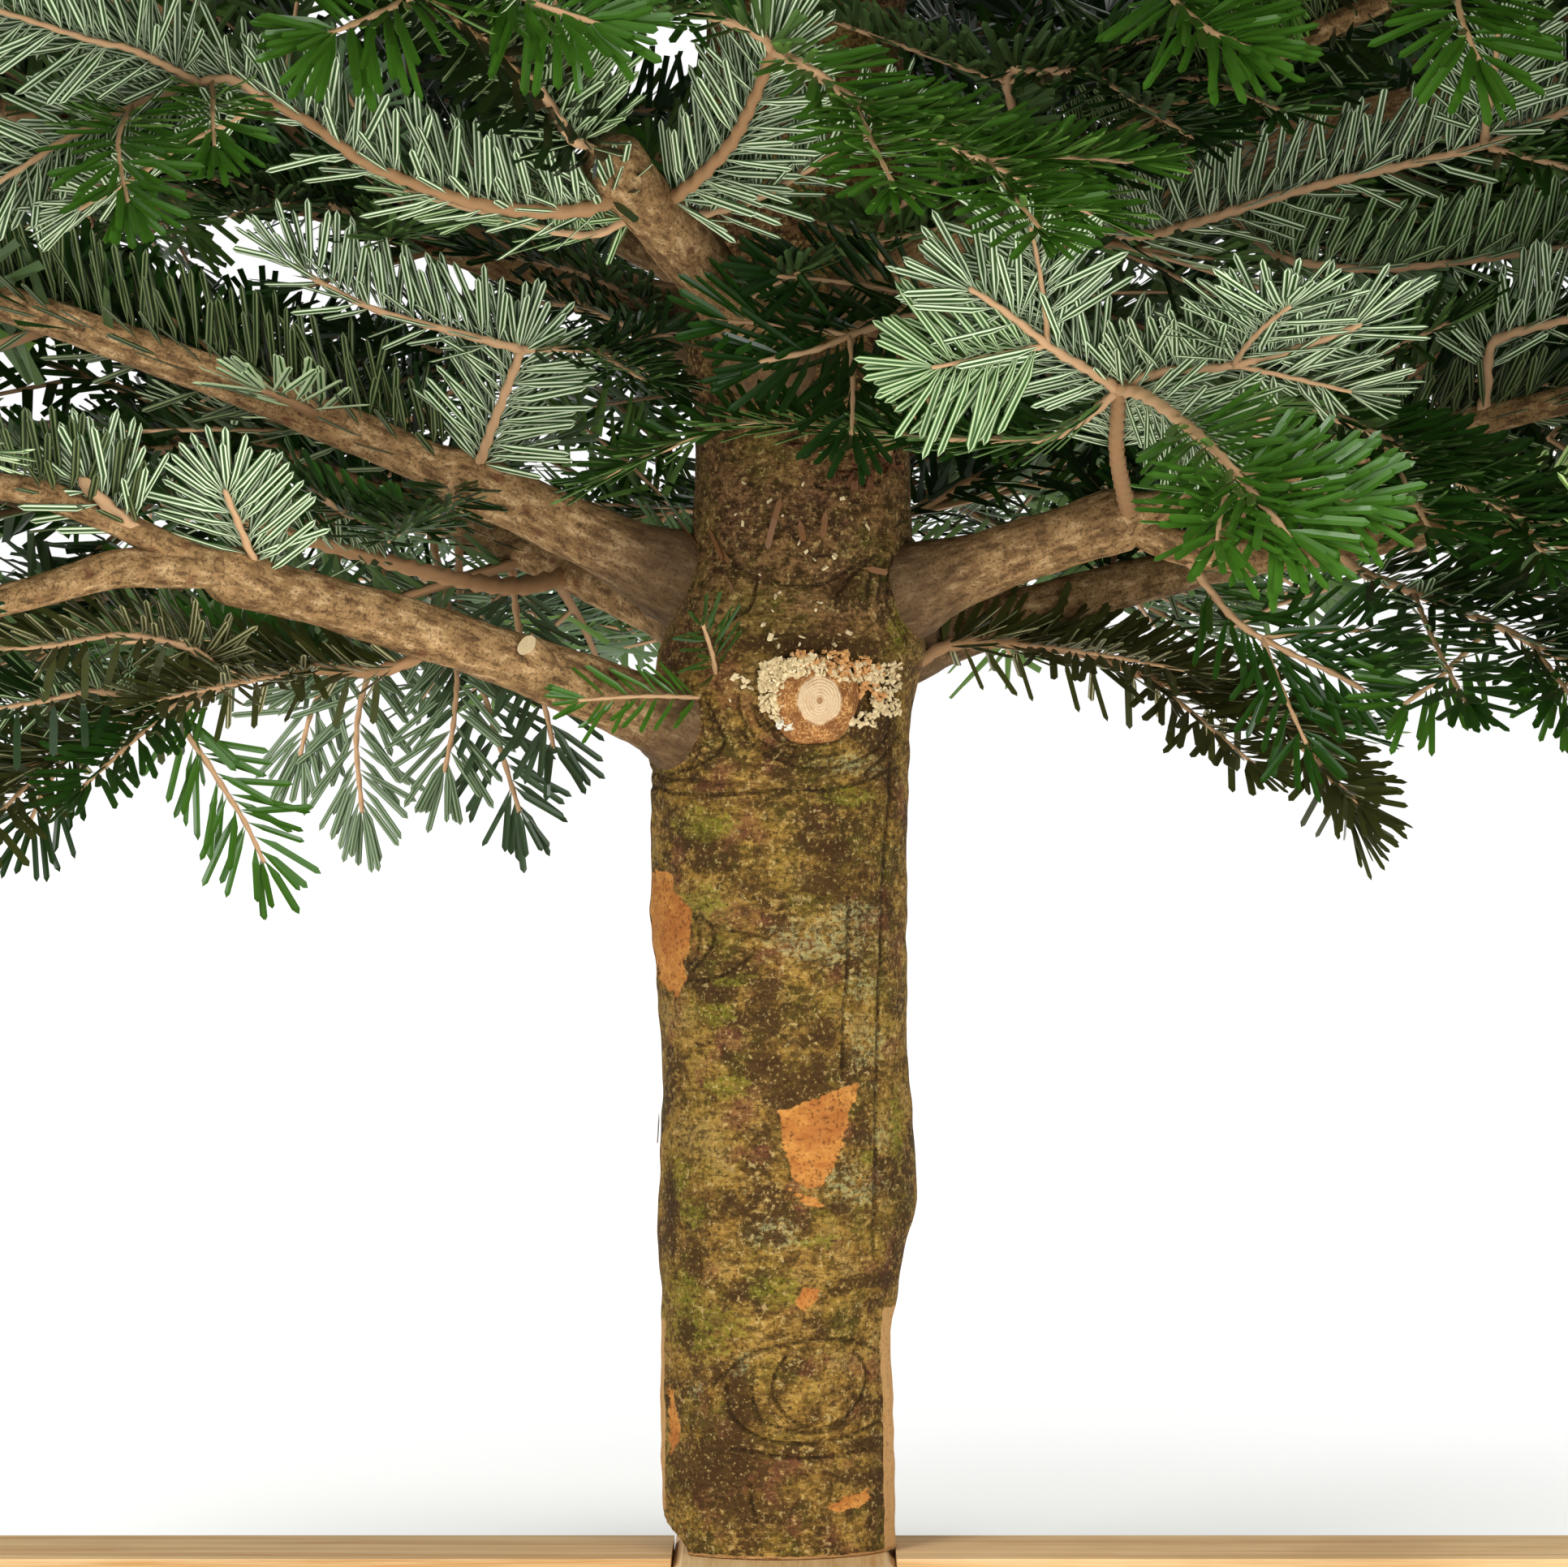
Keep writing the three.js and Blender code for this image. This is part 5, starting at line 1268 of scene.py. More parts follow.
# Settings that a user may change
def colour_setting(name, description, code):
    return bpy.props.FloatVectorProperty(
        name=name, description=description, default=shade(code),
        subtype="COLOR", size=3, min=0, max=1,
    )


def size_setting(name, description, size):
    return bpy.props.FloatProperty(
        name=name, description=description, default=size, subtype="DISTANCE"
    )


def count_setting(name, where, count):
    description = f"Needles on a centimetre of twig {where}"
    return bpy.props.FloatProperty(name=name, description=description, default=count)


class FirSizes(bpy.types.PropertyGroup):
    needle_length: size_setting("Needle length", "Length of a full needle", 0.025)
    needle_width: size_setting("Needle width", "Width of a needle", 0.0026)
    needles_far: count_setting("Needles on far twigs", "away from the view", 3.1)
    needles_middle: count_setting("Needles further back", "behind the near ones", 5.2)
    needles_near: count_setting("Needles on near twigs", "in the view", 6.8)
    needles_close: count_setting("Needles in front", "of the foremost shoots", 14.5)


class FirColours(bpy.types.PropertyGroup):
    bark: colour_setting("Bark", "Main colour of the trunk's bark", 0x8C6A2C)
    bark_dark: colour_setting("Dark bark", "Bark in its furrows and damp patches", 0x34230F)
    bark_pale: colour_setting("Pale bark", "Worn and dry bark", 0xAE8A46)
    algae: colour_setting("Algae", "Green film on the bark", 0x6C6E1C)
    scar: colour_setting("Scraped bark", "Inner bark where it was scraped", 0xCB8F48)
    wood: colour_setting("Cut wood", "Freshly cut wood", 0xC79C66)
    bough: colour_setting("Bough bark", "Bark of boughs", 0xA07E54)
    twig: colour_setting("Twigs", "Bark of young twigs", 0xC49C74)
    twig_old: colour_setting("Old twigs", "Bark of older twigs", 0x9E7852)
    floor: colour_setting("Floor", "Plain floor", 0xF2F2F0)


# Upper side, pale band and midrib of the needles, and their whole underside from afar
NEEDLE_TINTS = [
    ("deep", 0x18340C, 0xAEC096, 0x24400F, 0x42582E),
    ("green", 0x22460F, 0xBACC9C, 0x2F5618, 0x527036),
    ("fresh", 0x3C661A, 0xAEC47C, 0x44701E, 0x628838),
    ("grey", 0x2A4822, 0xD4E2BE, 0x325020, 0x66825A),
    ("brown", 0x3E421A, 0xB0AA82, 0x42461C, 0x66643A),
    ("dry", 0x7A5230, 0x946C46, 0x6C4628, 0x7A5636),
    # A darker copy of the deep tint: painted shade for the needles standing on the near boughs
    ("deep_in_shade", 0x142808, 0x6E7A4E, 0x1C2E0C, 0x30421C),
    ("mist", 0x44583C, 0x869878, 0x4A5E3C, 0x5A6C50),
]


# Each side's name, roughness and gloss, in the order of the tints' colours
NEEDLE_FINISHES = (("top", 0.3, 0.5), ("band", 0.5, 0.25), ("rib", 0.4, 0.3), ("under", 0.45, 0.2))


def plain_material(name, colour, roughness, specular):
    """A material of one colour by name, made at its first use."""
    known = bpy.data.materials.get(name)
    if known:
        return known
    paint = Paint(name)
    paint.shader.inputs["Base Color"].default_value = as_colour(colour)
    paint.shader.inputs["Roughness"].default_value = roughness
    paint.shader.inputs["Specular IOR Level"].default_value = specular
    return paint.material


def needle_materials():
    """Four materials for each tint, in the order that the needles' faces count them."""
    return [
        plain_material(f"needle_{tint}_{side}", code, roughness, specular)
        for tint, *codes in NEEDLE_TINTS
        for (side, roughness, specular), code in zip(NEEDLE_FINISHES, codes)
    ]


def twig_materials(colours):
    return [
        plain_material("twig_young", tuple(colours.twig), 0.7, 0.3),
        plain_material("twig_old", tuple(colours.twig_old), 0.8, 0.3),
    ]


# Marks of the trunk's front by kind: middle, half sizes, and for some their turn in degrees
PATCHES = {
    "dark": [
        (990, 1344, 30, 26), (880, 1812, 60, 46), (911, 1732, 15, 32), (1066, 1779, 24, 10),
        (1076, 1577, 32, 9), (1040, 1586, 16, 7, -20), (1064, 1820, 42, 9), (858, 1552, 12, 24),
        (954, 1526, 12, 9), (1014, 1090, 34, 20), (1030, 1050, 20, 14), (899, 1476, 11, 7, 30),
        (884, 1226, 16, 9), (1062, 1400, 14, 20), (945, 1310, 18, 12), (1018, 1270, 16, 18),
        (1030, 1490, 14, 7), (846, 1640, 10, 20), (905, 1595, 16, 8), (1094, 905, 12, 50),
        (1000, 796, 80, 12), (1040, 728, 14, 22, 30), (826, 1480, 6, 40),
    ],
    "algae": [
        (866, 1636, 40, 30), (846, 1590, 18, 26), (868, 1016, 30, 20), (1046, 980, 30, 12),
        (838, 1450, 12, 26), (855, 1495, 14, 16), (866, 1110, 26, 16), (905, 1208, 24, 6, -12),
        (1104, 1390, 8, 40), (1108, 770, 12, 34), (1010, 1530, 26, 9), (896, 1338, 26, 14),
        (880, 1250, 24, 14), (1068, 1425, 10, 12), (955, 1590, 30, 22),
    ],
    "lichen": [
        (1066, 1216, 20, 16), (1050, 1128, 34, 14), (1010, 1160, 60, 24), (1070, 1290, 22, 22),
        (1066, 1405, 12, 8), (1085, 1400, 14, 10), (955, 1520, 30, 18), (1050, 1460, 40, 26),
        (915, 1680, 8, 16, 30), (858, 1712, 8, 12), (1050, 942, 44, 12),
    ],
}
# Outlines of the scraped spots
SCARS = [
    [(959, 1369), (977, 1366), (1010, 1352), (1061, 1331), (1053, 1358), (1044, 1380), (1046, 1392),
     (1036, 1398), (1040, 1410), (1030, 1424), (1032, 1434), (1022, 1444), (1014, 1462),
     (996, 1464), (977, 1452), (967, 1421)],
    [(970, 1462), (986, 1472), (1002, 1476), (1017, 1483), (1012, 1489), (992, 1484), (978, 1475)],
    [(800, 1090), (808, 1072), (826, 1076), (829, 1098), (850, 1118), (854, 1148), (851, 1172),
     (843, 1186), (846, 1205), (839, 1216), (836, 1231), (828, 1222), (816, 1216), (798, 1160)],
    [(981, 1606), (990, 1586), (1012, 1588), (1008, 1600), (996, 1610), (986, 1616)],
    [(1016, 1860), (1040, 1846), (1068, 1836), (1080, 1842), (1060, 1856), (1040, 1862)],
    [(822, 1706), (828, 1712), (838, 1760), (836, 1778), (826, 1790)],
]
# Dark lines of painted shade in the bark: folds of the collars, arcs around the stub and knots, and
# cracks
LINES = [
    [(802, 968), (831, 977), (873, 979), (921, 978), (970, 972), (1018, 974), (1062, 964),
     (1091, 952), (1112, 944)],
    [(800, 949), (824, 960), (858, 961), (890, 968)],
    [(910, 898), (926, 917), (945, 930), (979, 943), (1008, 947), (1037, 944), (1067, 932),
     (1088, 915), (1096, 896), (1094, 879)],
    [(909, 857), (911, 876), (921, 896), (936, 913), (960, 927), (989, 934), (1018, 932),
     (1042, 925)],
    [(926, 867), (936, 891), (955, 908), (979, 922)],
    [(932, 870), (944, 890), (966, 906), (996, 916), (1030, 912)],
    [(870, 867), (885, 896), (891, 915), (880, 930), (856, 944), (824, 954)],
    [(848, 867), (858, 891), (853, 915), (844, 927)],
    [(836, 872), (842, 894), (838, 912), (828, 922)],
    [(1110, 905), (1091, 930), (1067, 951)],
    [(932, 828), (950, 818), (979, 808), (1018, 806), (1042, 818), (1067, 830), (1079, 825)],
    [(1097, 940), (1096, 1000), (1091, 1040), (1088, 1106), (1084, 1204), (1082, 1287),
     (1079, 1369), (1078, 1468), (1077, 1546)],
    [(1046, 1106), (1045, 1204), (1040, 1244), (1038, 1323)],
    [(851, 1122), (861, 1139), (864, 1158), (859, 1181), (847, 1193)],
    [(864, 1129), (879, 1145), (880, 1162), (869, 1181), (854, 1196)],
    [(849, 1122), (879, 1139), (912, 1149), (948, 1158)],
    [(834, 1208), (866, 1209), (892, 1201), (918, 1185), (930, 1172)],
    [(878, 1707), (914, 1675), (947, 1662), (983, 1654), (1019, 1650), (1055, 1654), (1086, 1666)],
    [(895, 1708), (897, 1737), (914, 1759), (933, 1771), (962, 1778), (1000, 1779), (1031, 1774),
     (1062, 1763), (1089, 1749)],
    [(926, 1708), (928, 1727), (938, 1749), (967, 1762), (995, 1766), (1019, 1763), (1041, 1755)],
    [(969, 1672), (957, 1689), (952, 1708), (955, 1725), (971, 1747), (995, 1759), (1019, 1759),
     (1043, 1744), (1057, 1725), (1066, 1704), (1065, 1684), (1053, 1665)],
    [(900, 1785), (933, 1790), (962, 1796), (995, 1797), (1031, 1794), (1067, 1786)],
    [(925, 1830), (926, 1852), (933, 1878)],
    [(904, 696), (919, 704), (933, 712)],
    [(947, 710), (964, 720), (988, 722), (1008, 721), (1030, 712), (1051, 698), (1077, 685)],
    [(933, 712), (929, 730), (923, 749), (905, 761), (887, 771)],
    [(1077, 686), (1049, 710), (1034, 730), (1030, 743)],
    [(1077, 692), (1069, 714), (1067, 734)],
    [(1088, 690), (1082, 714), (1080, 739)],
    [(1099, 684), (1092, 704), (1090, 728)],
    [(1004, 595), (1014, 601), (1043, 602), (1067, 598), (1085, 593)],
]
# Swollen knots and collars: middle and half sizes
KNOTS = [
    (1004, 1708, 78, 62), (866, 1166, 56, 42), (1006, 880, 90, 60), (828, 900, 56, 44),
    (1090, 720, 60, 50), (868, 726, 60, 50),
]
# Segments around, how far they are drawn together in front, and where the front begins
TRUNK_SEGMENTS, FRONT_PULL, FRONT = 220, 0.5, (-2, 6)
# Soft edge of a scraped spot in pixels, and the distance from a dark line that counts
SCAR_EDGE, CREASE_REACH = 16, 20
# Rings of bark around a bough's root: their pitch, the squeeze of their height, how far
# above the root they go, and by its radius where they begin and end
RING_PITCH, RING_SQUEEZE, RING_TOP, RINGS_IN, RINGS_OUT = 2.6, 0.85, 2, (1.3, 1.5), (1.8, 2.2)
# Heights over which bare wood begins and ends, the width of its edge, and the cut's rim
WOOD_IN, WOOD_OUT, WOOD_EDGE, CUT_RIM = 4, 5, 0.8, 0.4
# Relief in millimetres: broad waves, wrinkles, knots and their edge, scraped spots, dark
# lines and their width, and rings
BROAD_RELIEF, WRINKLE_RELIEF, KNOT_RELIEF, KNOT_EDGE = 0.28, 0.16, 1.3, 0.85
SCAR_HOLLOW, CREASE_DEPTH, CREASE_WIDTH, RING_RELIEF = 0.45, 0.6, 0.8, 0.18
# The relief grows from the cut up, fades below the top, and is full on a stout trunk
RELIEF_FOOT, RELIEF_TOP, RELIEF_RADIUS = 5, 40, 30
# Heights between which rings are close together, their pitch, and that of the rest
CLOSE_HEIGHTS = ((22.0, 74.0), (164.0, 346.0))
CLOSE_PITCH, OPEN_PITCH, FINE_TOP, COARSE_PITCH = 0.85, 1.7, 400.0, 20.0


def trunk_levels():
    """Heights of the trunk's rings, close together where the bark has folds."""
    levels = [0.0]
    while levels[-1] < FINE_TOP:
        close = any(low <= levels[-1] < high for low, high in CLOSE_HEIGHTS)
        levels.append(levels[-1] + (CLOSE_PITCH if close else OPEN_PITCH))
    return np.concatenate([levels, np.arange(levels[-1] + 8, TRUNK_TOP, COARSE_PITCH), [TRUNK_TOP]])


def distance_to(px, py, corners):
    """Distance in pixels to a line through some points."""
    best = np.full(len(px), 1e3)
    for (ax, ay), (bx, by) in zip(corners, corners[1:]):
        dx, dy = bx - ax, by - ay
        share = np.clip(((px - ax) * dx + (py - ay) * dy) / (dx * dx + dy * dy), 0, 1)
        best = np.minimum(best, np.hypot(px - ax - share * dx, py - ay - share * dy))
    return best


def inside_of(px, py, corners):
    """True within a closed outline."""
    inside = np.zeros(len(px), dtype=bool)
    for (ax, ay), (bx, by) in zip(corners, corners[1:] + corners[:1]):
        if ay != by:
            crossing = ax + (py - ay) / (by - ay) * (bx - ax)
            inside ^= ((py < ay) != (py < by)) & (px < crossing)
    return inside


def patch_field(px, py, middle_x, middle_y, half_x, half_y, turn=0):
    """1 in the middle of an oval patch, one half on its edge and 0 at twice its size."""
    turn = math.radians(turn)
    x, y = px - middle_x, py - middle_y
    across = (x * math.cos(turn) + y * math.sin(turn)) / half_x
    along = (y * math.cos(turn) - x * math.sin(turn)) / half_y
    return np.clip(1 - np.hypot(across, along) / 2, 0, 1)


def trunk_marks(places, height):
    """Fields of scars, algae, damp, lichen, rings, cracks and bare wood on the trunk."""
    px, py = pixel_of(places)
    front = smooth_step(-places[:, 1], *FRONT)
    marks = {}
    for kind, patches in PATCHES.items():
        fields = [patch_field(px, py, *patch) for patch in patches]
        marks[kind] = np.max(fields, axis=0) * front
    scar = np.zeros(len(places))
    for corners in SCARS:
        away = distance_to(px, py, corners + corners[:1])
        away = np.where(inside_of(px, py, corners), away, -away)
        scar = np.maximum(scar, np.clip(0.5 + away / SCAR_EDGE, 0, 1))
    marks["scar"] = scar * front
    ring, ring_share = np.zeros(len(places)), np.zeros(len(places))
    for limb in whorl_limbs(0) + whorl_limbs(1):
        root, _, _, _ = limb.frame(float(trunk_radius(limb.height)))
        away = np.linalg.norm((places - root) * (1, 1, RING_SQUEEZE), axis=1)
        start, inner, outer, end = (limb.radius * share for share in (*RINGS_IN, *RINGS_OUT))
        share = smooth_step(away, start, inner)
        share = share * (1 - smooth_step(away, outer, end)) * (places[:, 2] < root[2] + RING_TOP)
        ring = np.where(share > ring_share, away, ring)
        ring_share = np.maximum(ring_share, share)
    marks["ring"], marks["ring_share"] = ring, ring_share
    crease = np.full(len(places), np.inf)
    for line in LINES:
        bent = [tuple(corner) for corner in curve_through(line, 4)]
        crease = np.minimum(crease, distance_to(px, py, bent) * PIXEL)
    marks["crease"] = np.where(front > 0, np.minimum(crease, CREASE_REACH), CREASE_REACH)
    middle, widening = fitted_edges(height)
    x = (places[:, 0] - middle) / widening
    wood = np.zeros(len(places))
    for (face, start, end), bare in ((SHAVED_LEFT, BARE_LEFT), (SHAVED_RIGHT, BARE_RIGHT)):
        near = 1 - smooth_step(np.abs(x - face), bare, bare + WOOD_EDGE)
        near = near * smooth_step(height, start - WOOD_IN, start)
        wood = np.maximum(wood, near * (1 - smooth_step(height, end, end + WOOD_OUT)))
    marks["wood"] = np.where(height < CUT_RIM, 1.0, wood)
    return marks


def trunk_relief(places, height, angle, marks):
    """How far the bark stands out: swollen knots, rings, scraped hollows and wrinkles."""
    px, py = pixel_of(places)
    front = smooth_step(-places[:, 1], *FRONT)
    lengthwise = np.sin(angle * 9 + np.sin(height / 21) * 2)
    out = BROAD_RELIEF * lengthwise * np.sin(height / 6.5 + 2 * np.sin(angle * 3))
    wrinkles = np.sin(height / 1.9 + 3 * np.sin(angle * 2.3 + height / 40))
    out += WRINKLE_RELIEF * wrinkles * np.sin(angle * 5 + height / 17)
    for middle_x, middle_y, half_x, half_y in KNOTS:
        away = np.hypot((px - middle_x) / half_x, (py - middle_y) / half_y)
        out += KNOT_RELIEF * np.exp(-((away / KNOT_EDGE) ** 4)) * front
    out -= SCAR_HOLLOW * smooth_step(marks["scar"], 0.45, 0.55)
    out -= CREASE_DEPTH * np.exp(-((marks["crease"] / CREASE_WIDTH) ** 2))
    out += RING_RELIEF * np.sin(marks["ring"] * 2 * math.pi / RING_PITCH) * marks["ring_share"]
    edge = smooth_step(height, 0, RELIEF_FOOT)
    edge = edge * (1 - smooth_step(height, TRUNK_TOP - RELIEF_TOP, TRUNK_TOP))
    return out * (edge * np.minimum(1, trunk_radius(height) / RELIEF_RADIUS))


# Pitch of the stub's year rings, and where around it the bark begins
YEAR_RING, STUB_BARK_FROM = 0.9, (7.2, 8.0)


def trunk_bark(name, colours):
    """Olive-brown bark with fine specks, algae, lichen, folds and scraped spots, and painted shade
    in the folds and under the crown.
    """
    paint = Paint(name)
    place = paint.place()
    patches = paint.noise(place, 46, 7, 0.66, (1, 1, 1.3))
    mottle = paint.noise(place, 230, 6, 0.7, (1, 1, 1.6))
    wrinkle = paint.noise(place, 150, 4, 0.62, (1, 1, 5))
    specks = paint.noise(place, 780, 4, 0.68)
    other = paint.noise(place, 560, 4, 0.7, (1, 1, 1.2))
    dark = tuple(colours.bark_dark)

    # Bark, redder above the lower whorl, and darker there with painted shade under the crown
    colour = paint.coats(
        0x442F15,
        (patches, (0.445, 0.57), tuple(colours.bark)),
        (patches, (0.55, 0.66, 0, 0.5), 0x9C8450),
        (mottle, (0.52, 0.62, 0, 0.6), tuple(colours.bark_pale)),
        (mottle, (0.39, 0.485, 0.75, 0), 0x3A2A12),
        (paint.noise(place, 70, 5), (0.56, 0.64, 0, 0.5), 0x744230),
    )
    level = paint.node("ShaderNodeSeparateXYZ", {0: place}).outputs[2]
    upper = paint.span(paint.plus(level, (patches, 0.03)), 0.306, 0.338)
    # Painted shade of the crown on the upper trunk, over a redder bark
    shadowed = paint.coats(0x2E1F13, (mottle, (0.42, 0.58), 0x7E5C3E))
    colour = paint.mix(paint.times(upper, 0.78), colour, shadowed)

    # Algae and lichen
    film = paint.span(paint.noise(place, 60, 6, 0.65, (1, 1, 0.8)), 0.49, 0.66, 0, 0.5)
    algae = paint.maths("MAXIMUM", paint.ragged(paint.mark("algae"), mottle, 0.16, 2.2), film)
    algae = paint.times(algae, paint.span(other, 0.38, 0.6, 0.25, 1))
    lichen = paint.ragged(paint.mark("lichen"), mottle, 0.16, 2.2)
    lichen = paint.times(lichen, paint.span(other, 0.46, 0.56))
    stray = paint.noise(place, 420, 3, 0.6)

    # Damp patches, furrows, specks, the collars' rings, and dark lines of painted shade in the
    # folds and cracks
    damp = paint.ragged(paint.mark("dark"), mottle, 0.1, 2.8)
    furrow = paint.span(wrinkle, 0.38, 0.48, 1, 0)
    wave = paint.times(paint.plus(paint.mark("ring"), (patches, 5)), 2 * math.pi / RING_PITCH)
    ring_line = paint.span(paint.maths("SINE", wave), -1, -0.5, 1, 0)
    ring_line = paint.times(ring_line, paint.mark("ring_share"))
    # A mask of painted shade along the folds and cracks
    crease = paint.span(paint.plus(paint.mark("crease"), (specks, 0.7)), 0.45, 1.1, 1, 0)
    crease = paint.times(crease, paint.span(mottle, 0.36, 0.54, 0.5, 1))
    colour = paint.coats(
        colour,
        (paint.times(algae, 0.8), None, tuple(colours.algae)),
        (paint.times(lichen, 0.55), None, 0xA0A070),
        (stray, (0.61, 0.66, 0, 0.6), 0xB8A068),
        (paint.times(damp, 0.88), None, 0x38240F),
        (paint.times(furrow, 0.6), None, 0x4C361A),
        (specks, (0.36, 0.47, 0.85, 0), dark),
        (specks, (0.58, 0.67, 0, 0.5), 0xCEAE6C),
        (paint.times(ring_line, 0.4), None, dark),
        (paint.times(crease, 0.9), None, 0x241709),
    )

    # Scraped spots, and bare wood on the shaved faces and the cut
    fresh = paint.coats(
        0xAC6C30,
        (mottle, (0.35, 0.65), tuple(colours.scar)),
        (patches, (0.47, 0.57, 0, 0.6), 0x9A5628),
        (specks, (0.38, 0.46, 0.75, 0), 0x5E3216),
    )
    cut = paint.coats(
        0xA87F4E,
        (paint.noise(place, 420, 3, stretch=(1, 1, 0.12)), None, tuple(colours.wood)),
        (specks, (0.34, 0.44, 0.6, 0), 0x5A3C20),
    )
    colour = paint.coats(
        colour,
        (paint.times(paint.ragged(paint.mark("scar"), mottle, 0.05), 0.94), None, fresh),
        (paint.ragged(paint.mark("wood"), mottle, 0.1), None, cut),
    )
    height = paint.plus(paint.times(wrinkle, 0.7), (specks, 0.45), (mottle, 0.5))
    height = paint.minus(paint.minus(height, ring_line, 0.3), crease, 0.6)
    return paint.finish(colour, 0.85, height, 0.0011)


def bough_bark(name, colours):
    """Brown bark with a long grain, wrinkles and small round scars of old needles."""
    paint = Paint(name)
    place = paint.mark("straight", "Vector")
    long_grain = paint.noise(place, 420, 4, 0.6, (1, 1, 0.35))
    mottle = paint.noise(place, 150, 5, 0.6)
    wrinkle = paint.noise(place, 190, 3, 0.6, (1, 1, 4))
    grain = paint.noise(place, 1100, 2, 0.6)
    inputs = {"Vector": place, "Scale": 95.0, "Randomness": 1.0}
    dots = paint.node("ShaderNodeTexVoronoi", inputs).outputs["Distance"]
    colour = paint.coats(
        0x7C5E3C,
        (mottle, (0.38, 0.62), tuple(colours.bough)),
        (long_grain, (0.53, 0.66, 0, 0.6), 0xD2B082),
        (long_grain, (0.37, 0.46, 0.7, 0), 0x4A3420),
        (grain, (0.38, 0.46, 0.6, 0), 0x3C2A1A),
        (dots, (0.1, 0.2, 0.6, 0), 0x5C3020),
        (paint.times(paint.mark("root"), 0.75), None, 0x4C3A28),
    )
    height = paint.plus(paint.times(long_grain, 0.5), (wrinkle, 0.5), (grain, 0.2))
    height = paint.minus(height, paint.span(dots, 0.05, 0.2, 0.4, 0))
    return paint.finish(colour, 0.78, height, 0.0007)


def stub_wood(name):
    """Cut wood with year rings, and orange inner bark around it."""
    paint = Paint(name)
    place = paint.place()
    disc = paint.mark("disc")
    cloud = paint.noise(place, 260)
    fine = paint.noise(place, 1500, 3)
    rings = paint.times(paint.plus(disc, (cloud, 1)), 2 * math.pi / YEAR_RING)
    rings = paint.maths("SINE", rings)
    wood = paint.coats(
        0xE0C29C,
        (rings, (-0.6, 1, 0, 0.22), 0xC09162),
        (cloud, (0.5, 0.7, 0, 0.4), 0xB98652),
        (disc, (0.7, 1.3, 0.8, 0), 0x9A6B3C),
    )
    bark = paint.coats(
        0x8E5A30,
        (fine, (0.42, 0.6), 0xD09A5C),
        (cloud, (0.46, 0.6, 0, 0.8), 0x7A4A26),
        (fine, (0.6, 0.68, 0, 0.7), 0xD8B382),
    )
    edge = paint.plus(disc, (cloud, 1.6))
    colour = paint.coats(wood, (edge, STUB_BARK_FROM, bark))
    return paint.finish(colour, 0.7, paint.plus(fine, (rings, 0.2)), 0.0006)


def cut_wood(name):
    """Pale fresh wood of a small cut end."""
    paint = Paint(name)
    grain = paint.noise(paint.place(), 1400, 3)
    return paint.finish(paint.mix(grain, 0xC9A878, 0xEAD9B4), 0.7, grain, 0.0002)


def crumb_material(name, code):
    """One tone of the crumbs, darker in its grain."""
    paint = Paint(name)
    grain = paint.noise(paint.place(), 900, 2)
    shaded = [channel * share for channel, share in zip(shade(code), (0.62, 0.58, 0.5))]
    return paint.finish(paint.coats(shaded, (grain, (0.3, 0.7), code)), 0.8, grain, 0.0002)


def sawn_wood(name, turn):
    """Board wood whose grain runs along a board turned by an angle."""
    paint = Paint(name)
    place = paint.place()
    straight = paint.stretched(paint.stretched(place, (1, 1, 1), (0, 0, turn)), (0.05, 1, 1))
    rings = paint.noise(straight, 120, 3, 0.5)
    fibre = paint.noise(straight, 900, 2, 0.6, (0.6, 1, 1))
    colour = paint.coats(
        0xD2AE7C,
        (rings, (0.4, 0.62), 0xB98B55),
        (fibre, (0.35, 0.7, 0, 0.45), 0xE0C397),
        (paint.noise(place, 9), (0.5, 0.7, 0, 0.35), 0x9C7343),
    )
    return paint.finish(colour, 0.68, paint.plus(paint.times(fibre, 0.6), (rings, 0.6)), 0.0005)


def screw_steel(name):
    """Plain bright steel."""
    paint = Paint(name)
    cloud = paint.noise(paint.place(), 400, 3)
    paint.shader.inputs["Metallic"].default_value = 1.0
    return paint.finish(paint.mix(cloud, 0x9FA1A4, 0xC4C5C8), 0.38)


def plain_floor(name, colour):
    """A pale floor that glows a little, so that it stays plain to the horizon."""
    paint = Paint(name)
    cloud = paint.noise(paint.place(), 3, 2)
    paint.shader.inputs["Emission Color"].default_value = (1, 1, 1, 1)
    paint.shader.inputs["Emission Strength"].default_value = FLOOR_GLOW
    return paint.finish(paint.mix(cloud, colour, [0.985 * c for c in colour]), 0.9)


# Stage: floor in metres, its glow, and the lights' places, sizes, watts and common aim
FLOOR_RADIUS, FLOOR_CORNERS, FLOOR_GLOW = 60, 64, 0.22
LAMPS = (
    ("key_light", (-1.6, -2.5, 1.7), 1.1, 114),
    ("fill_light", (1.6, -2.4, 0.7), 1.4, 38),
)
LAMP_AIM = (0, 0, 0.32)


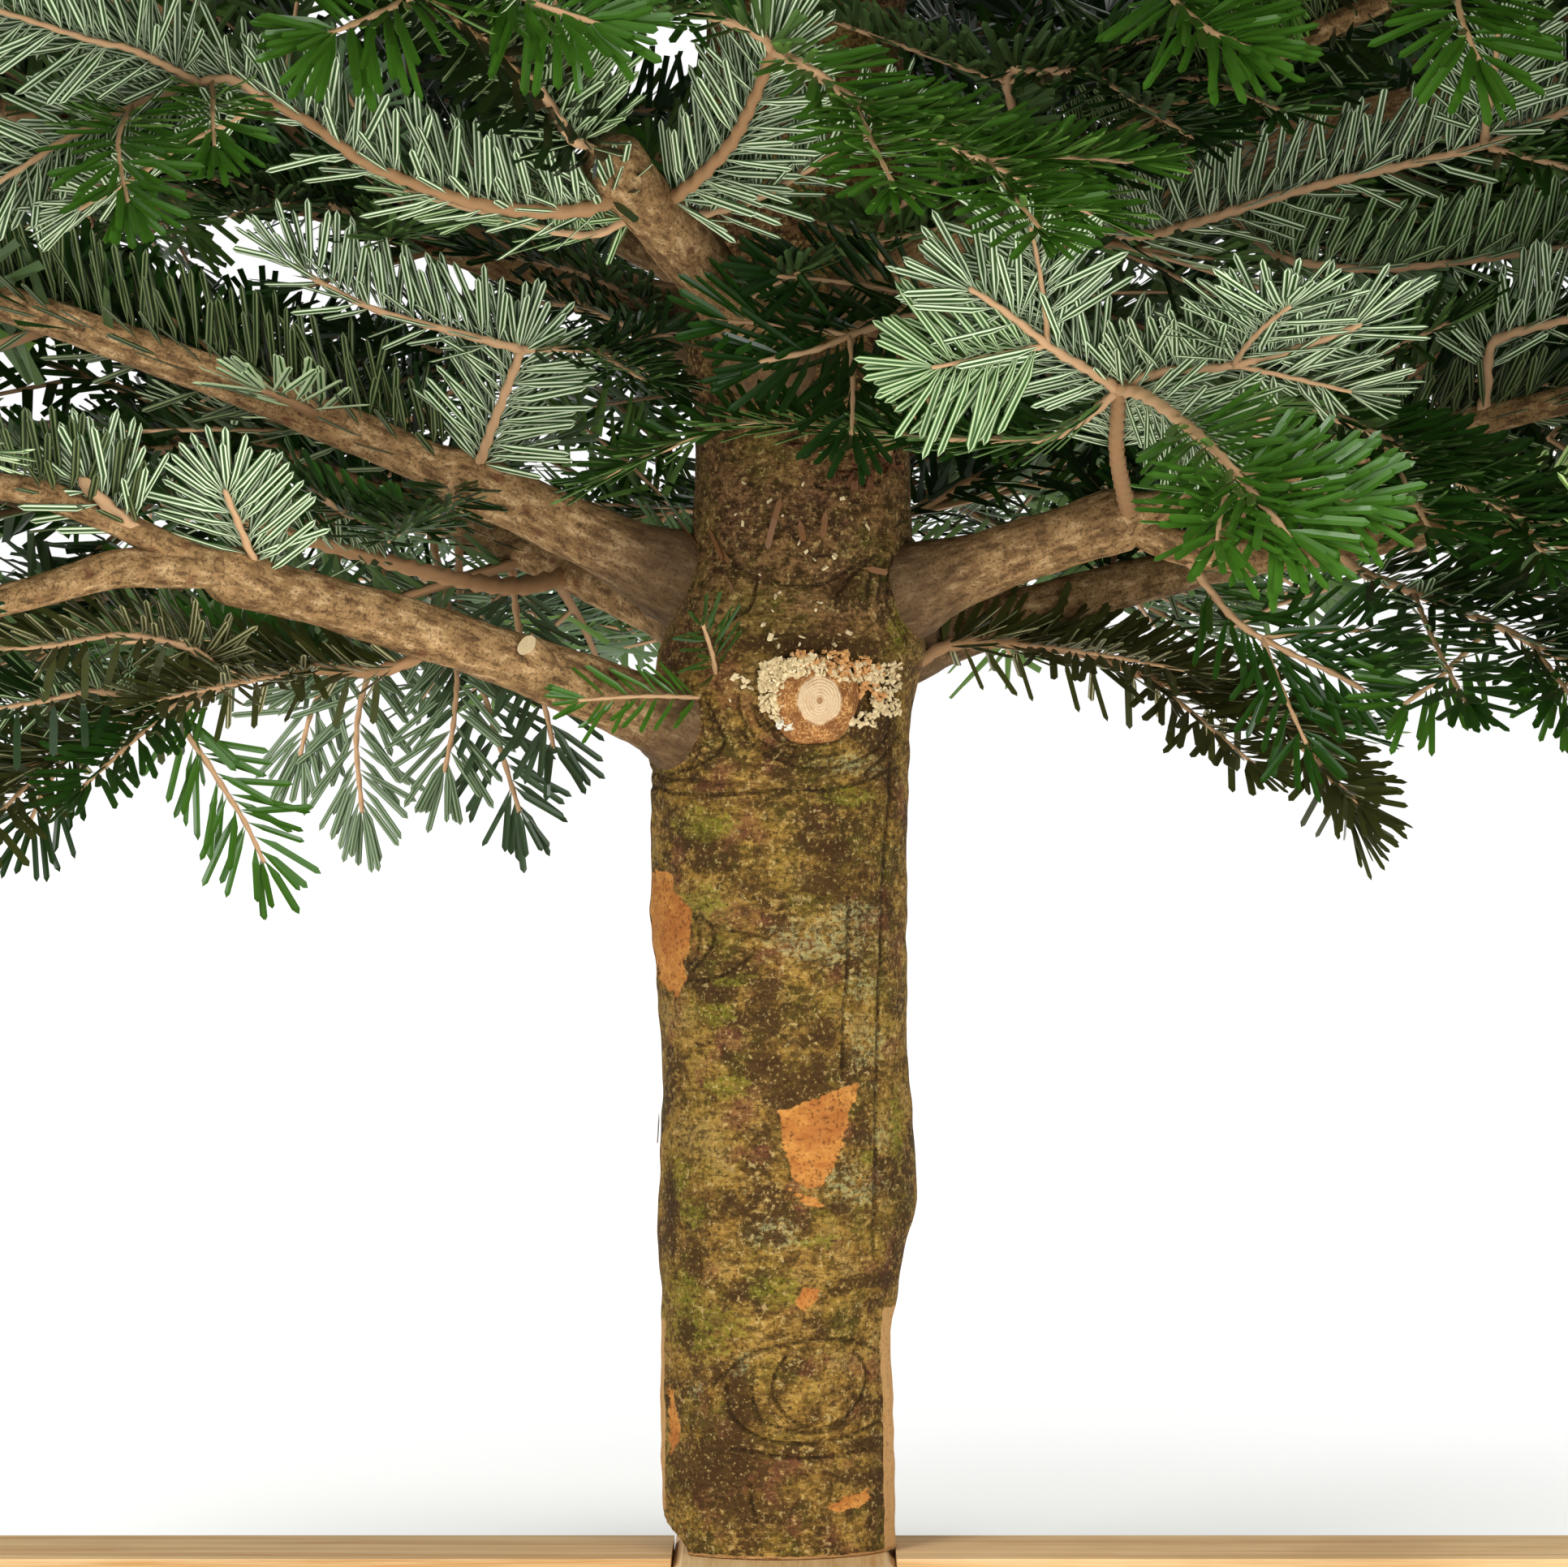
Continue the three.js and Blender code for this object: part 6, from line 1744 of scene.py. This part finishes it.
# Operators, one for each piece or group of like pieces
class FIR_OT_stage(bpy.types.Operator):
    """Makes the plain pale floor, the soft lights and the camera"""

    bl_idname = "fir.stage"
    bl_label = "Stage, lights and camera"

    def execute(self, context):
        self.floor(context.scene)
        self.lights(context.scene)
        self.camera(context.scene)
        context.scene.view_settings.view_transform = "Standard"
        return {"FINISHED"}

    def floor(self, scene):
        bm = bmesh.new()
        bmesh.ops.create_circle(bm, cap_ends=True, segments=FLOOR_CORNERS, radius=FLOOR_RADIUS)
        mesh = bpy.data.meshes.new("floor")
        bm.to_mesh(mesh)
        bm.free()
        mesh.materials.append(plain_floor("pale_floor", tuple(scene.fir_colours.floor)))
        floor = bpy.data.objects.new("floor", mesh)
        scene.collection.objects.link(floor)

    def lights(self, scene):
        world = bpy.data.worlds.new("studio")
        world.use_nodes = True
        background = world.node_tree.nodes["Background"]
        background.inputs["Color"].default_value = (1, 1, 1, 1)
        background.inputs["Strength"].default_value = 1.0
        scene.world = world
        for name, place, size, power in LAMPS:
            light = bpy.data.lights.new(name, "AREA")
            light.size, light.energy = size, power
            lamp = bpy.data.objects.new(name, light)
            lamp.location = place
            aim = Vector(LAMP_AIM) - lamp.location
            lamp.rotation_euler = aim.to_track_quat("-Z", "Y").to_euler()
            scene.collection.objects.link(lamp)

    def camera(self, scene):
        camera = bpy.data.cameras.new("camera")
        camera.sensor_width = SENSOR
        camera.lens = SENSOR * CAMERA_DISTANCE / (PICTURE_SIZE[0] * PIXEL)
        eye = bpy.data.objects.new("camera", camera)
        eye.location = (0, -CAMERA_DISTANCE * MM, VIEW_HEIGHT * MM)
        eye.rotation_euler = (math.pi / 2, 0, 0)
        scene.collection.objects.link(eye)
        scene.camera = eye


class FIR_OT_trunk(bpy.types.Operator):
    """Makes the trunk with its bark, knots, scars and shaved foot"""

    bl_idname = "fir.trunk"
    bl_label = "Trunk"

    def execute(self, context):
        levels = trunk_levels()
        bm = turned(len(levels), TRUNK_SEGMENTS)
        ring, angle, share = drum_places(bm)
        angle = angle - FRONT_PULL * np.cos(angle)
        height = levels[ring]
        places = trunk_points(height, angle, 0)
        marks = trunk_marks(places, height)
        out = trunk_relief(places, height, angle, marks)
        level = np.zeros(len(angle))
        away = np.stack([np.cos(angle), np.sin(angle), level], axis=-1)
        places = places + away * out[:, None]
        middle = np.stack([fitted_edges(height)[0], level, CUT_LEVEL + height], axis=-1)
        places = np.where(share[:, None] < 0.5, middle, places)
        mesh = mesh_from_drum("trunk_bark", bm, places)
        for name, values in marks.items():
            float_attribute(mesh, name, values)
        material = trunk_bark("trunk_bark", context.scene.fir_colours)
        placed("trunk_bark", mesh, [material], ["trunk"])
        return {"FINISHED"}


# Segments and pitch of a low limb and of an upper one; where a limb begins within the
# trunk and ends, its fewest rings, and over which length it counts as its root
LIMB_DETAIL, LIMB_FROM, LIMB_TO, LIMB_RINGS, LIMB_ROOT = ((32, 3), (10, 22)), 0.5, 0.93, 6, (2, 30)
# Segments and pitch of a branch; shifts along the bark keep stems from looking alike
BRANCH_SEGMENTS, BRANCH_PITCH, LIMB_SHIFT, BRANCH_SHIFT = 28, 2.0, 700, 4000
# Unevenness of a stem: share of the radius, length, waves around, and sway over a length
STEM_WAVES, STEM_SWAY = ((0.03, 9, 2, 0), (0.02, 3.7, 3, 0), (0.012, 1.3, 5, 3)), 17


def bough_material(context):
    name = "ridged_bough_bark"
    return bpy.data.materials.get(name) or bough_bark(name, context.scene.fir_colours)


class FIR_OT_boughs(bpy.types.Operator):
    """Makes every bough and limb from the trunk to its tip"""

    bl_idname = "fir.boughs"
    bl_label = "Boughs"

    def execute(self, context):
        material = bough_material(context)
        for index in range(len(WHORLS)):
            limbs = whorl_limbs(index)
            whole = merged(f"limbs_{index + 1}", [self.limb_mesh(limb, index) for limb in limbs])
            kind = "bough" if index < len(BOUGHS) else "foliage"
            nodes = [f"{kind}_{limb.label}" for limb in limbs]
            placed(f"limbs_{index + 1}", whole, [material], nodes)
        return {"FINISHED"}

    def limb_mesh(self, limb, index):
        segments, pitch = LIMB_DETAIL[index >= len(BOUGHS)]
        root = float(trunk_radius(limb.height))
        start, end = root * LIMB_FROM, limb.reach * LIMB_TO
        stations = np.linspace(start, end, max(LIMB_RINGS, int((end - start) / pitch)))
        rooted = 1 - smooth_step(stations, root + LIMB_ROOT[0], root + LIMB_ROOT[1])
        points, _, sides, overs = limb.frame(stations)
        lines = (points, sides, overs, limb.thickness(stations), rooted)
        marks = stations + LIMB_SHIFT * limb.azimuth
        return stem_mesh(f"limb_{index}_{limb.name}", lines, marks, segments)


def stem_mesh(name, lines, marks, segments):
    """A stem along a line; lines are places, two ways across, radii and nearness to the root."""
    points, sides, overs, sizes, rooted = lines
    bm = turned(len(marks), segments)
    ring, angle, share = drum_places(bm)
    along, size = marks[ring], sizes[ring]
    rough = 1.0
    for height, length, around, sway in STEM_WAVES:
        turn = along / length + around * angle + sway * np.sin(along / STEM_SWAY)
        rough = rough + height * np.sin(turn)
    spread = sides[ring] * np.sin(angle)[:, None] + overs[ring] * np.cos(angle)[:, None]
    places = points[ring] + spread * (size * rough * share)[:, None]
    straight = np.stack([size * np.cos(angle), size * np.sin(angle), along], axis=-1)
    return mesh_from_drum(name, bm, places), straight, rooted[ring]


def merged(name, stems):
    """One mesh of several stems, with their bark's coordinates and nearness to the root."""
    joined = bmesh.new()
    for mesh, _, _ in stems:
        joined.from_mesh(mesh)
        bpy.data.meshes.remove(mesh)
    whole = bpy.data.meshes.new(name)
    joined.to_mesh(whole)
    joined.free()
    vector_attribute(whole, "straight", np.concatenate([straight for _, straight, _ in stems]) * MM)
    float_attribute(whole, "root", np.concatenate([rooted for _, _, rooted in stems]))
    return whole


class FIR_OT_branches(bpy.types.Operator):
    """Makes the bare forks and the stubs of the near boughs"""

    bl_idname = "fir.branches"
    bl_label = "Forks and stubs"

    def execute(self, context):
        limbs = all_limbs()
        stems = []
        for i, (root, points, radii, sawn) in enumerate(BRANCHES):
            line = Twig(feature_line(root, points, limbs), UP, radii, 0)
            stations = np.arange(0, line.length, BRANCH_PITCH)
            points, along = line.at(stations / line.length)
            sides = unit(np.cross(along, UP))
            sizes = np.interp(stations, (0, line.length), radii)
            lines = (points, sides, np.cross(sides, along), sizes, np.zeros(len(stations)))
            marks = stations + BRANCH_SHIFT * (i + 1)
            stem = stem_mesh(f"branch_{i}", lines, marks, BRANCH_SEGMENTS)
            if sawn:
                self.pale_end(stem[0], points[-1] * MM)
            stems.append(stem)
        materials = [bough_material(context), cut_wood("cut_wood")]
        placed("branches", merged("branches", stems), materials, [])
        return {"FINISHED"}

    def pale_end(self, mesh, end):
        """Gives the cut face at a stub's end its own material."""
        end = Vector(end)
        for face in mesh.polygons:
            corners = [mesh.vertices[corner].co for corner in face.vertices]
            if any((corner - end).length < SAME_PLACE for corner in corners):
                face.material_index = 1
                face.use_smooth = False


# What the picture shows, and from where on needles are near
VIEW_X, VIEW_TOP, NEAR_DEPTH = 250.0, 520.0, 0.0
# Needles behind the near ones are wider, and those out of view are longer and wider still
MIDDLE_WIDTH, FAR_LENGTH, FAR_WIDTH = 1.15, 1.08, 1.75
MM_PER_CM = 10
# Into how many pieces each whorl's foliage goes
PARTS = (3, 6, 2, 2, 2, 1, 1, 1)


def in_view(twig):
    x, _, z = twig.points[len(twig.points) // 2]
    return abs(x) < VIEW_X and z < VIEW_TOP


class FIR_OT_sprays(bpy.types.Operator):
    """Grows the twigs and needles of every limb"""

    bl_idname = "fir.sprays"
    bl_label = "Sprays"

    def execute(self, context):
        for index, (*_, seed) in enumerate(WHORLS):
            for part, limbs in enumerate(split(whorl_limbs(index), PARTS[index])):
                twigs = [twig for limb in limbs for twig in grown_twigs(limb)]
                twigs = [twig for twig in twigs if not hides_front(twig)]
                nodes = [f"foliage_{limb.label}" for limb in limbs]
                plant(context, f"{index + 1}{LETTERS[part]}", twigs, nodes, seed * 10 + part)
        return {"FINISHED"}


def split(things, many):
    size = -(-len(things) // many)
    return [things[i : i + size] for i in range(0, len(things), size)]


# What stays clear in the picture: the sky's edge under the crown, and the front
FRINGE = [
    (0, 850), (200, 870), (330, 850), (560, 880), (700, 840), (760, 800), (800, 790), (1120, 800),
    (1300, 830), (1480, 830), (1600, 780), (1700, 710), (1932, 740),
]
FRONT_DEPTH = -45.0
SIDE_MARGIN, TOP_MARGIN = 40, 60
# Gaps in the crown through which the sky shows: middle and half sizes
SKY_GAPS = [
    (290, 282, 56, 26), (410, 306, 84, 30), (565, 345, 66, 40), (670, 500, 44, 40),
    (762, 84, 56, 34), (1370, 160, 66, 32), (50, 664, 76, 30), (60, 520, 76, 30),
    (470, 680, 120, 26), (1790, 715, 130, 26), (870, 560, 30, 60),
]


def hides_front(twig):
    """True for a grown twig that would cover the picture's front or its open sky."""
    px, py = pixel_of(twig.points)
    inside = (px > -SIDE_MARGIN) & (px < PICTURE_SIZE[0] + SIDE_MARGIN) & (py > -TOP_MARGIN)
    clear = (py > np.interp(px, *zip(*FRINGE))) | (twig.points[:, 1] < FRONT_DEPTH)
    for middle_x, middle_y, half_x, half_y in SKY_GAPS:
        clear |= np.hypot((px - middle_x) / half_x, (py - middle_y) / half_y) < 1
    return bool(np.any(inside & clear))


def plant(context, label, twigs, nodes, seed):
    """The twigs and needles of a group, as one piece each."""
    rng = np.random.default_rng(seed)
    bed = NeedleBed()
    sizes = context.scene.fir_sizes
    length, width = sizes.needle_length / MM, sizes.needle_width / MM
    for twig in twigs:
        if in_view(twig):
            if twig.points[0][1] < NEAR_DEPTH:
                twig.detail = max(twig.detail, 1)
            close = sizes.needles_close
            density = (sizes.needles_middle, sizes.needles_near, close, close)[twig.detail]
            needle = (length, width * (1 if twig.detail else MIDDLE_WIDTH))
        else:
            density = sizes.needles_far
            needle = (length * FAR_LENGTH, width * FAR_WIDTH)
        bed.dress(twig, density / MM_PER_CM, rng, needle)
    bark = twig_materials(context.scene.fir_colours)
    mesh_piece(f"twigs_{label}", twig_arrays(twigs), bark, nodes, smooth=True)
    mesh_piece(f"needles_{label}", needle_arrays(bed), needle_materials(), nodes)


class FIR_OT_near_shoots(bpy.types.Operator):
    """Makes the shoots that the picture shows one by one"""

    bl_idname = "fir.near_shoots"
    bl_label = "Near shoots"

    def execute(self, context):
        nodes = [f"foliage_{label}" for label in all_limbs()]
        twigs = feature_twigs()
        middle = len(twigs) // 2
        for label, part in (("near_a", twigs[:middle]), ("near_b", twigs[middle:])):
            plant(context, label, part, nodes, NEAR_SEED)
        return {"FINISHED"}


class FIR_OT_stub(bpy.types.Operator):
    """Makes the sawn stub, the crumbs around it, flakes of bark and dry needles"""

    bl_idname = "fir.stub"
    bl_label = "Sawn stub and litter"

    def execute(self, context):
        rng = np.random.default_rng(STUB_SEED)
        self.disc()
        self.crumbs(rng)
        self.dry_needles(rng)
        return {"FINISHED"}

    def disc(self):
        bm = turned(len(STUB_PROFILE), STUB_SEGMENTS)
        ring, angle, share = drum_places(bm)
        radii, heights = (np.array(column, dtype=float) for column in zip(*STUB_PROFILE))
        radius = radii[ring] * share * (1 + 0.05 * np.sin(2 * angle + 1) + 0.03 * np.sin(5 * angle))
        azimuth = math.radians(STUB_AZIMUTH)
        outward = np.array([math.cos(azimuth), math.sin(azimuth), 0.0])
        sideways = np.array([-outward[1], outward[0], 0.0])
        root = outward * (float(trunk_radius(STUB_HEIGHT)) - STUB_SINK)
        middle, widening = fitted_edges(STUB_HEIGHT)
        root[0] = float(middle) + root[0] * float(widening)
        root[2] = CUT_LEVEL + STUB_HEIGHT
        across, level = radius * np.cos(angle), radius * np.sin(angle) * STUB_OVAL
        lift = heights[ring] + 0.12 * np.sin(across * 2.1) * np.sin(level * 1.7)
        lift = np.where((share < 0.5) & (ring > 0), heights[-1], lift)
        places = root + outward * lift[:, None] + sideways * across[:, None] + UP * level[:, None]
        mesh = mesh_from_drum("stub", bm, places)
        float_attribute(mesh, "disc", radius)
        placed("stub", mesh, [stub_wood("stub_wood")], [])

    def crumbs(self, rng):
        """Small torn blocks, scattered on the bark."""
        bm = bmesh.new()
        bmesh.ops.create_cube(bm, size=1)
        bmesh.ops.triangulate(bm, faces=bm.faces)
        block = np.array([vert.co[:] for vert in bm.verts])
        faces = np.array([[vert.index for vert in face.verts] for face in bm.faces])
        bm.free()
        tones = list(CRUMB_TONES)
        spots = [(*heap, CRUMB_SIZE) for heap in CRUMB_HEAPS]
        spots += [(*flake, "flake", FLAKE_PROUD, FLAKE_SIZE) for flake in FLAKES]
        places, triangles, numbers = [], [], []
        for px, py, half_x, half_y, many, tone, proud, size in spots:
            for _ in range(many):
                spot_x, spot_y = px + half_x * rng.uniform(-1, 1), py + half_y * rng.uniform(-1, 1)
                middle, outward = on_trunk(spot_x, spot_y, proud)
                lie = rng.normal(size=(3, 3)) + np.outer(outward, (0, 0, CRUMB_LEVEL))
                turns = np.linalg.qr(lie)[0]
                turns *= np.sign(np.linalg.det(turns))
                torn = block * (1 + rng.uniform(-CRUMB_TORN, CRUMB_TORN, block.shape))
                corners = torn * np.array(size) * rng.uniform(*CRUMB_SIZES) @ turns.T
                triangles.append(faces + len(places) * len(block))
                places.append(middle + outward * rng.uniform(-CRUMB_DEPTH, CRUMB_DEPTH) + corners)
                numbers.append(np.full(len(faces), tones.index(tone)))
        materials = [crumb_material(f"crumb_{tone}", code) for tone, code in CRUMB_TONES.items()]
        arrays = (np.concatenate(places), np.concatenate(triangles), np.concatenate(numbers))
        mesh_piece("crumbs", arrays, materials, [])

    def dry_needles(self, rng):
        bed = NeedleBed()
        for start_x, start_y, end_x, end_y in DRY_NEEDLES:
            start, outward = on_trunk(start_x, start_y, DRY_PROUD[0])
            end, _ = on_trunk(end_x, end_y, DRY_PROUD[1])
            axis = unit(end - start)[None]
            normal = unit(outward - axis * np.sum(outward * axis))
            bend = normal * rng.uniform(*DRY_BEND)
            values = (np.linalg.norm(end - start), DRY_WIDTH, float(DRY))
            bed.add(2, start[None], axis, normal, bend, *(np.array([value]) for value in values))
        mesh_piece("dry_needles", needle_arrays(bed), needle_materials(), [])


class FIR_OT_leader(bpy.types.Operator):
    """Makes the upright shoot at the top and its twigs"""

    bl_idname = "fir.leader"
    bl_label = "Leader"

    def execute(self, context):
        foot = CUT_LEVEL + TRUNK_TOP - LEADER_FOOT
        top = CUT_LEVEL + LEADER_TIP
        axis = float(lean_at(TRUNK_TOP))
        line = np.array([(axis, 0, foot), (axis, 0, (foot + top) / 2), (axis, 0, top)])
        twigs = [Twig(line, (0, -1, 0), LEADER_THICK, GREEN, LEADER_BARE, style="brush")]
        for i in range(LEADER_SHOOTS):
            share = LEADER_FROM + (LEADER_TO - LEADER_FROM) * i / (LEADER_SHOOTS - 1)
            azimuth, lean = math.radians(i * GOLDEN_TURN), math.radians(LEADER_ANGLE)
            flat = np.array([math.cos(azimuth), math.sin(azimuth), 0])
            direction = flat * math.sin(lean) + UP * math.cos(lean)
            root = np.array([axis, 0, foot + (top - foot) * share])
            line = root + np.linspace(0, LEADER_SPRAY, 5)[:, None] * direction
            twigs.append(Twig(line, UP - flat, LEADER_SHOOT_THICK, GREEN, LEADER_BARE))
        plant(context, "leader", twigs, ["leader"], LEADER_SEED)
        return {"FINISHED"}


class FIR_OT_stand(bpy.types.Operator):
    """Gives the wooden cross and its screws their finishes"""

    bl_idname = "fir.stand"
    bl_label = "Wooden cross"

    def execute(self, context):
        finishes = {
            "stand_board_lower": sawn_wood("board_wood_lower", 0),
            "stand_board_upper": sawn_wood("board_wood_upper", math.pi / 2),
            "stand_screw_left": screw_steel("screw_steel"),
        }
        finishes["stand_screw_right"] = finishes["stand_screw_left"]
        for name, material in finishes.items():
            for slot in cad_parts[name].material_slots:
                slot.material = material
        return {"FINISHED"}


class FIR_PT_panel(bpy.types.Panel):
    """Lists the fir's pieces and its settings"""

    bl_label = "Cut silver fir"
    bl_idname = "FIR_PT_panel"
    bl_space_type = "VIEW_3D"
    bl_region_type = "UI"
    bl_category = "Fir"

    def draw(self, context):
        for settings in (context.scene.fir_sizes, context.scene.fir_colours):
            for name in settings.__annotations__:
                self.layout.prop(settings, name)
        for operator in OPERATORS:
            self.layout.operator(operator.bl_idname)


OPERATORS = (
    FIR_OT_stage,
    FIR_OT_trunk,
    FIR_OT_boughs,
    FIR_OT_branches,
    FIR_OT_sprays,
    FIR_OT_near_shoots,
    FIR_OT_stub,
    FIR_OT_leader,
    FIR_OT_stand,
)
CLASSES = (FirSizes, FirColours, *OPERATORS, FIR_PT_panel)


def register():
    for item in CLASSES:
        bpy.utils.register_class(item)
    bpy.types.Scene.fir_sizes = bpy.props.PointerProperty(type=FirSizes)
    bpy.types.Scene.fir_colours = bpy.props.PointerProperty(type=FirColours)


def unregister():
    del bpy.types.Scene.fir_colours
    del bpy.types.Scene.fir_sizes
    for item in reversed(CLASSES):
        bpy.utils.unregister_class(item)


def main():
    register()
    bpy.ops.fir.stage()
    bpy.ops.fir.trunk()
    bpy.ops.fir.boughs()
    bpy.ops.fir.branches()
    bpy.ops.fir.sprays()
    bpy.ops.fir.near_shoots()
    bpy.ops.fir.stub()
    bpy.ops.fir.leader()
    bpy.ops.fir.stand()


if __name__ == "__main__":
    main()
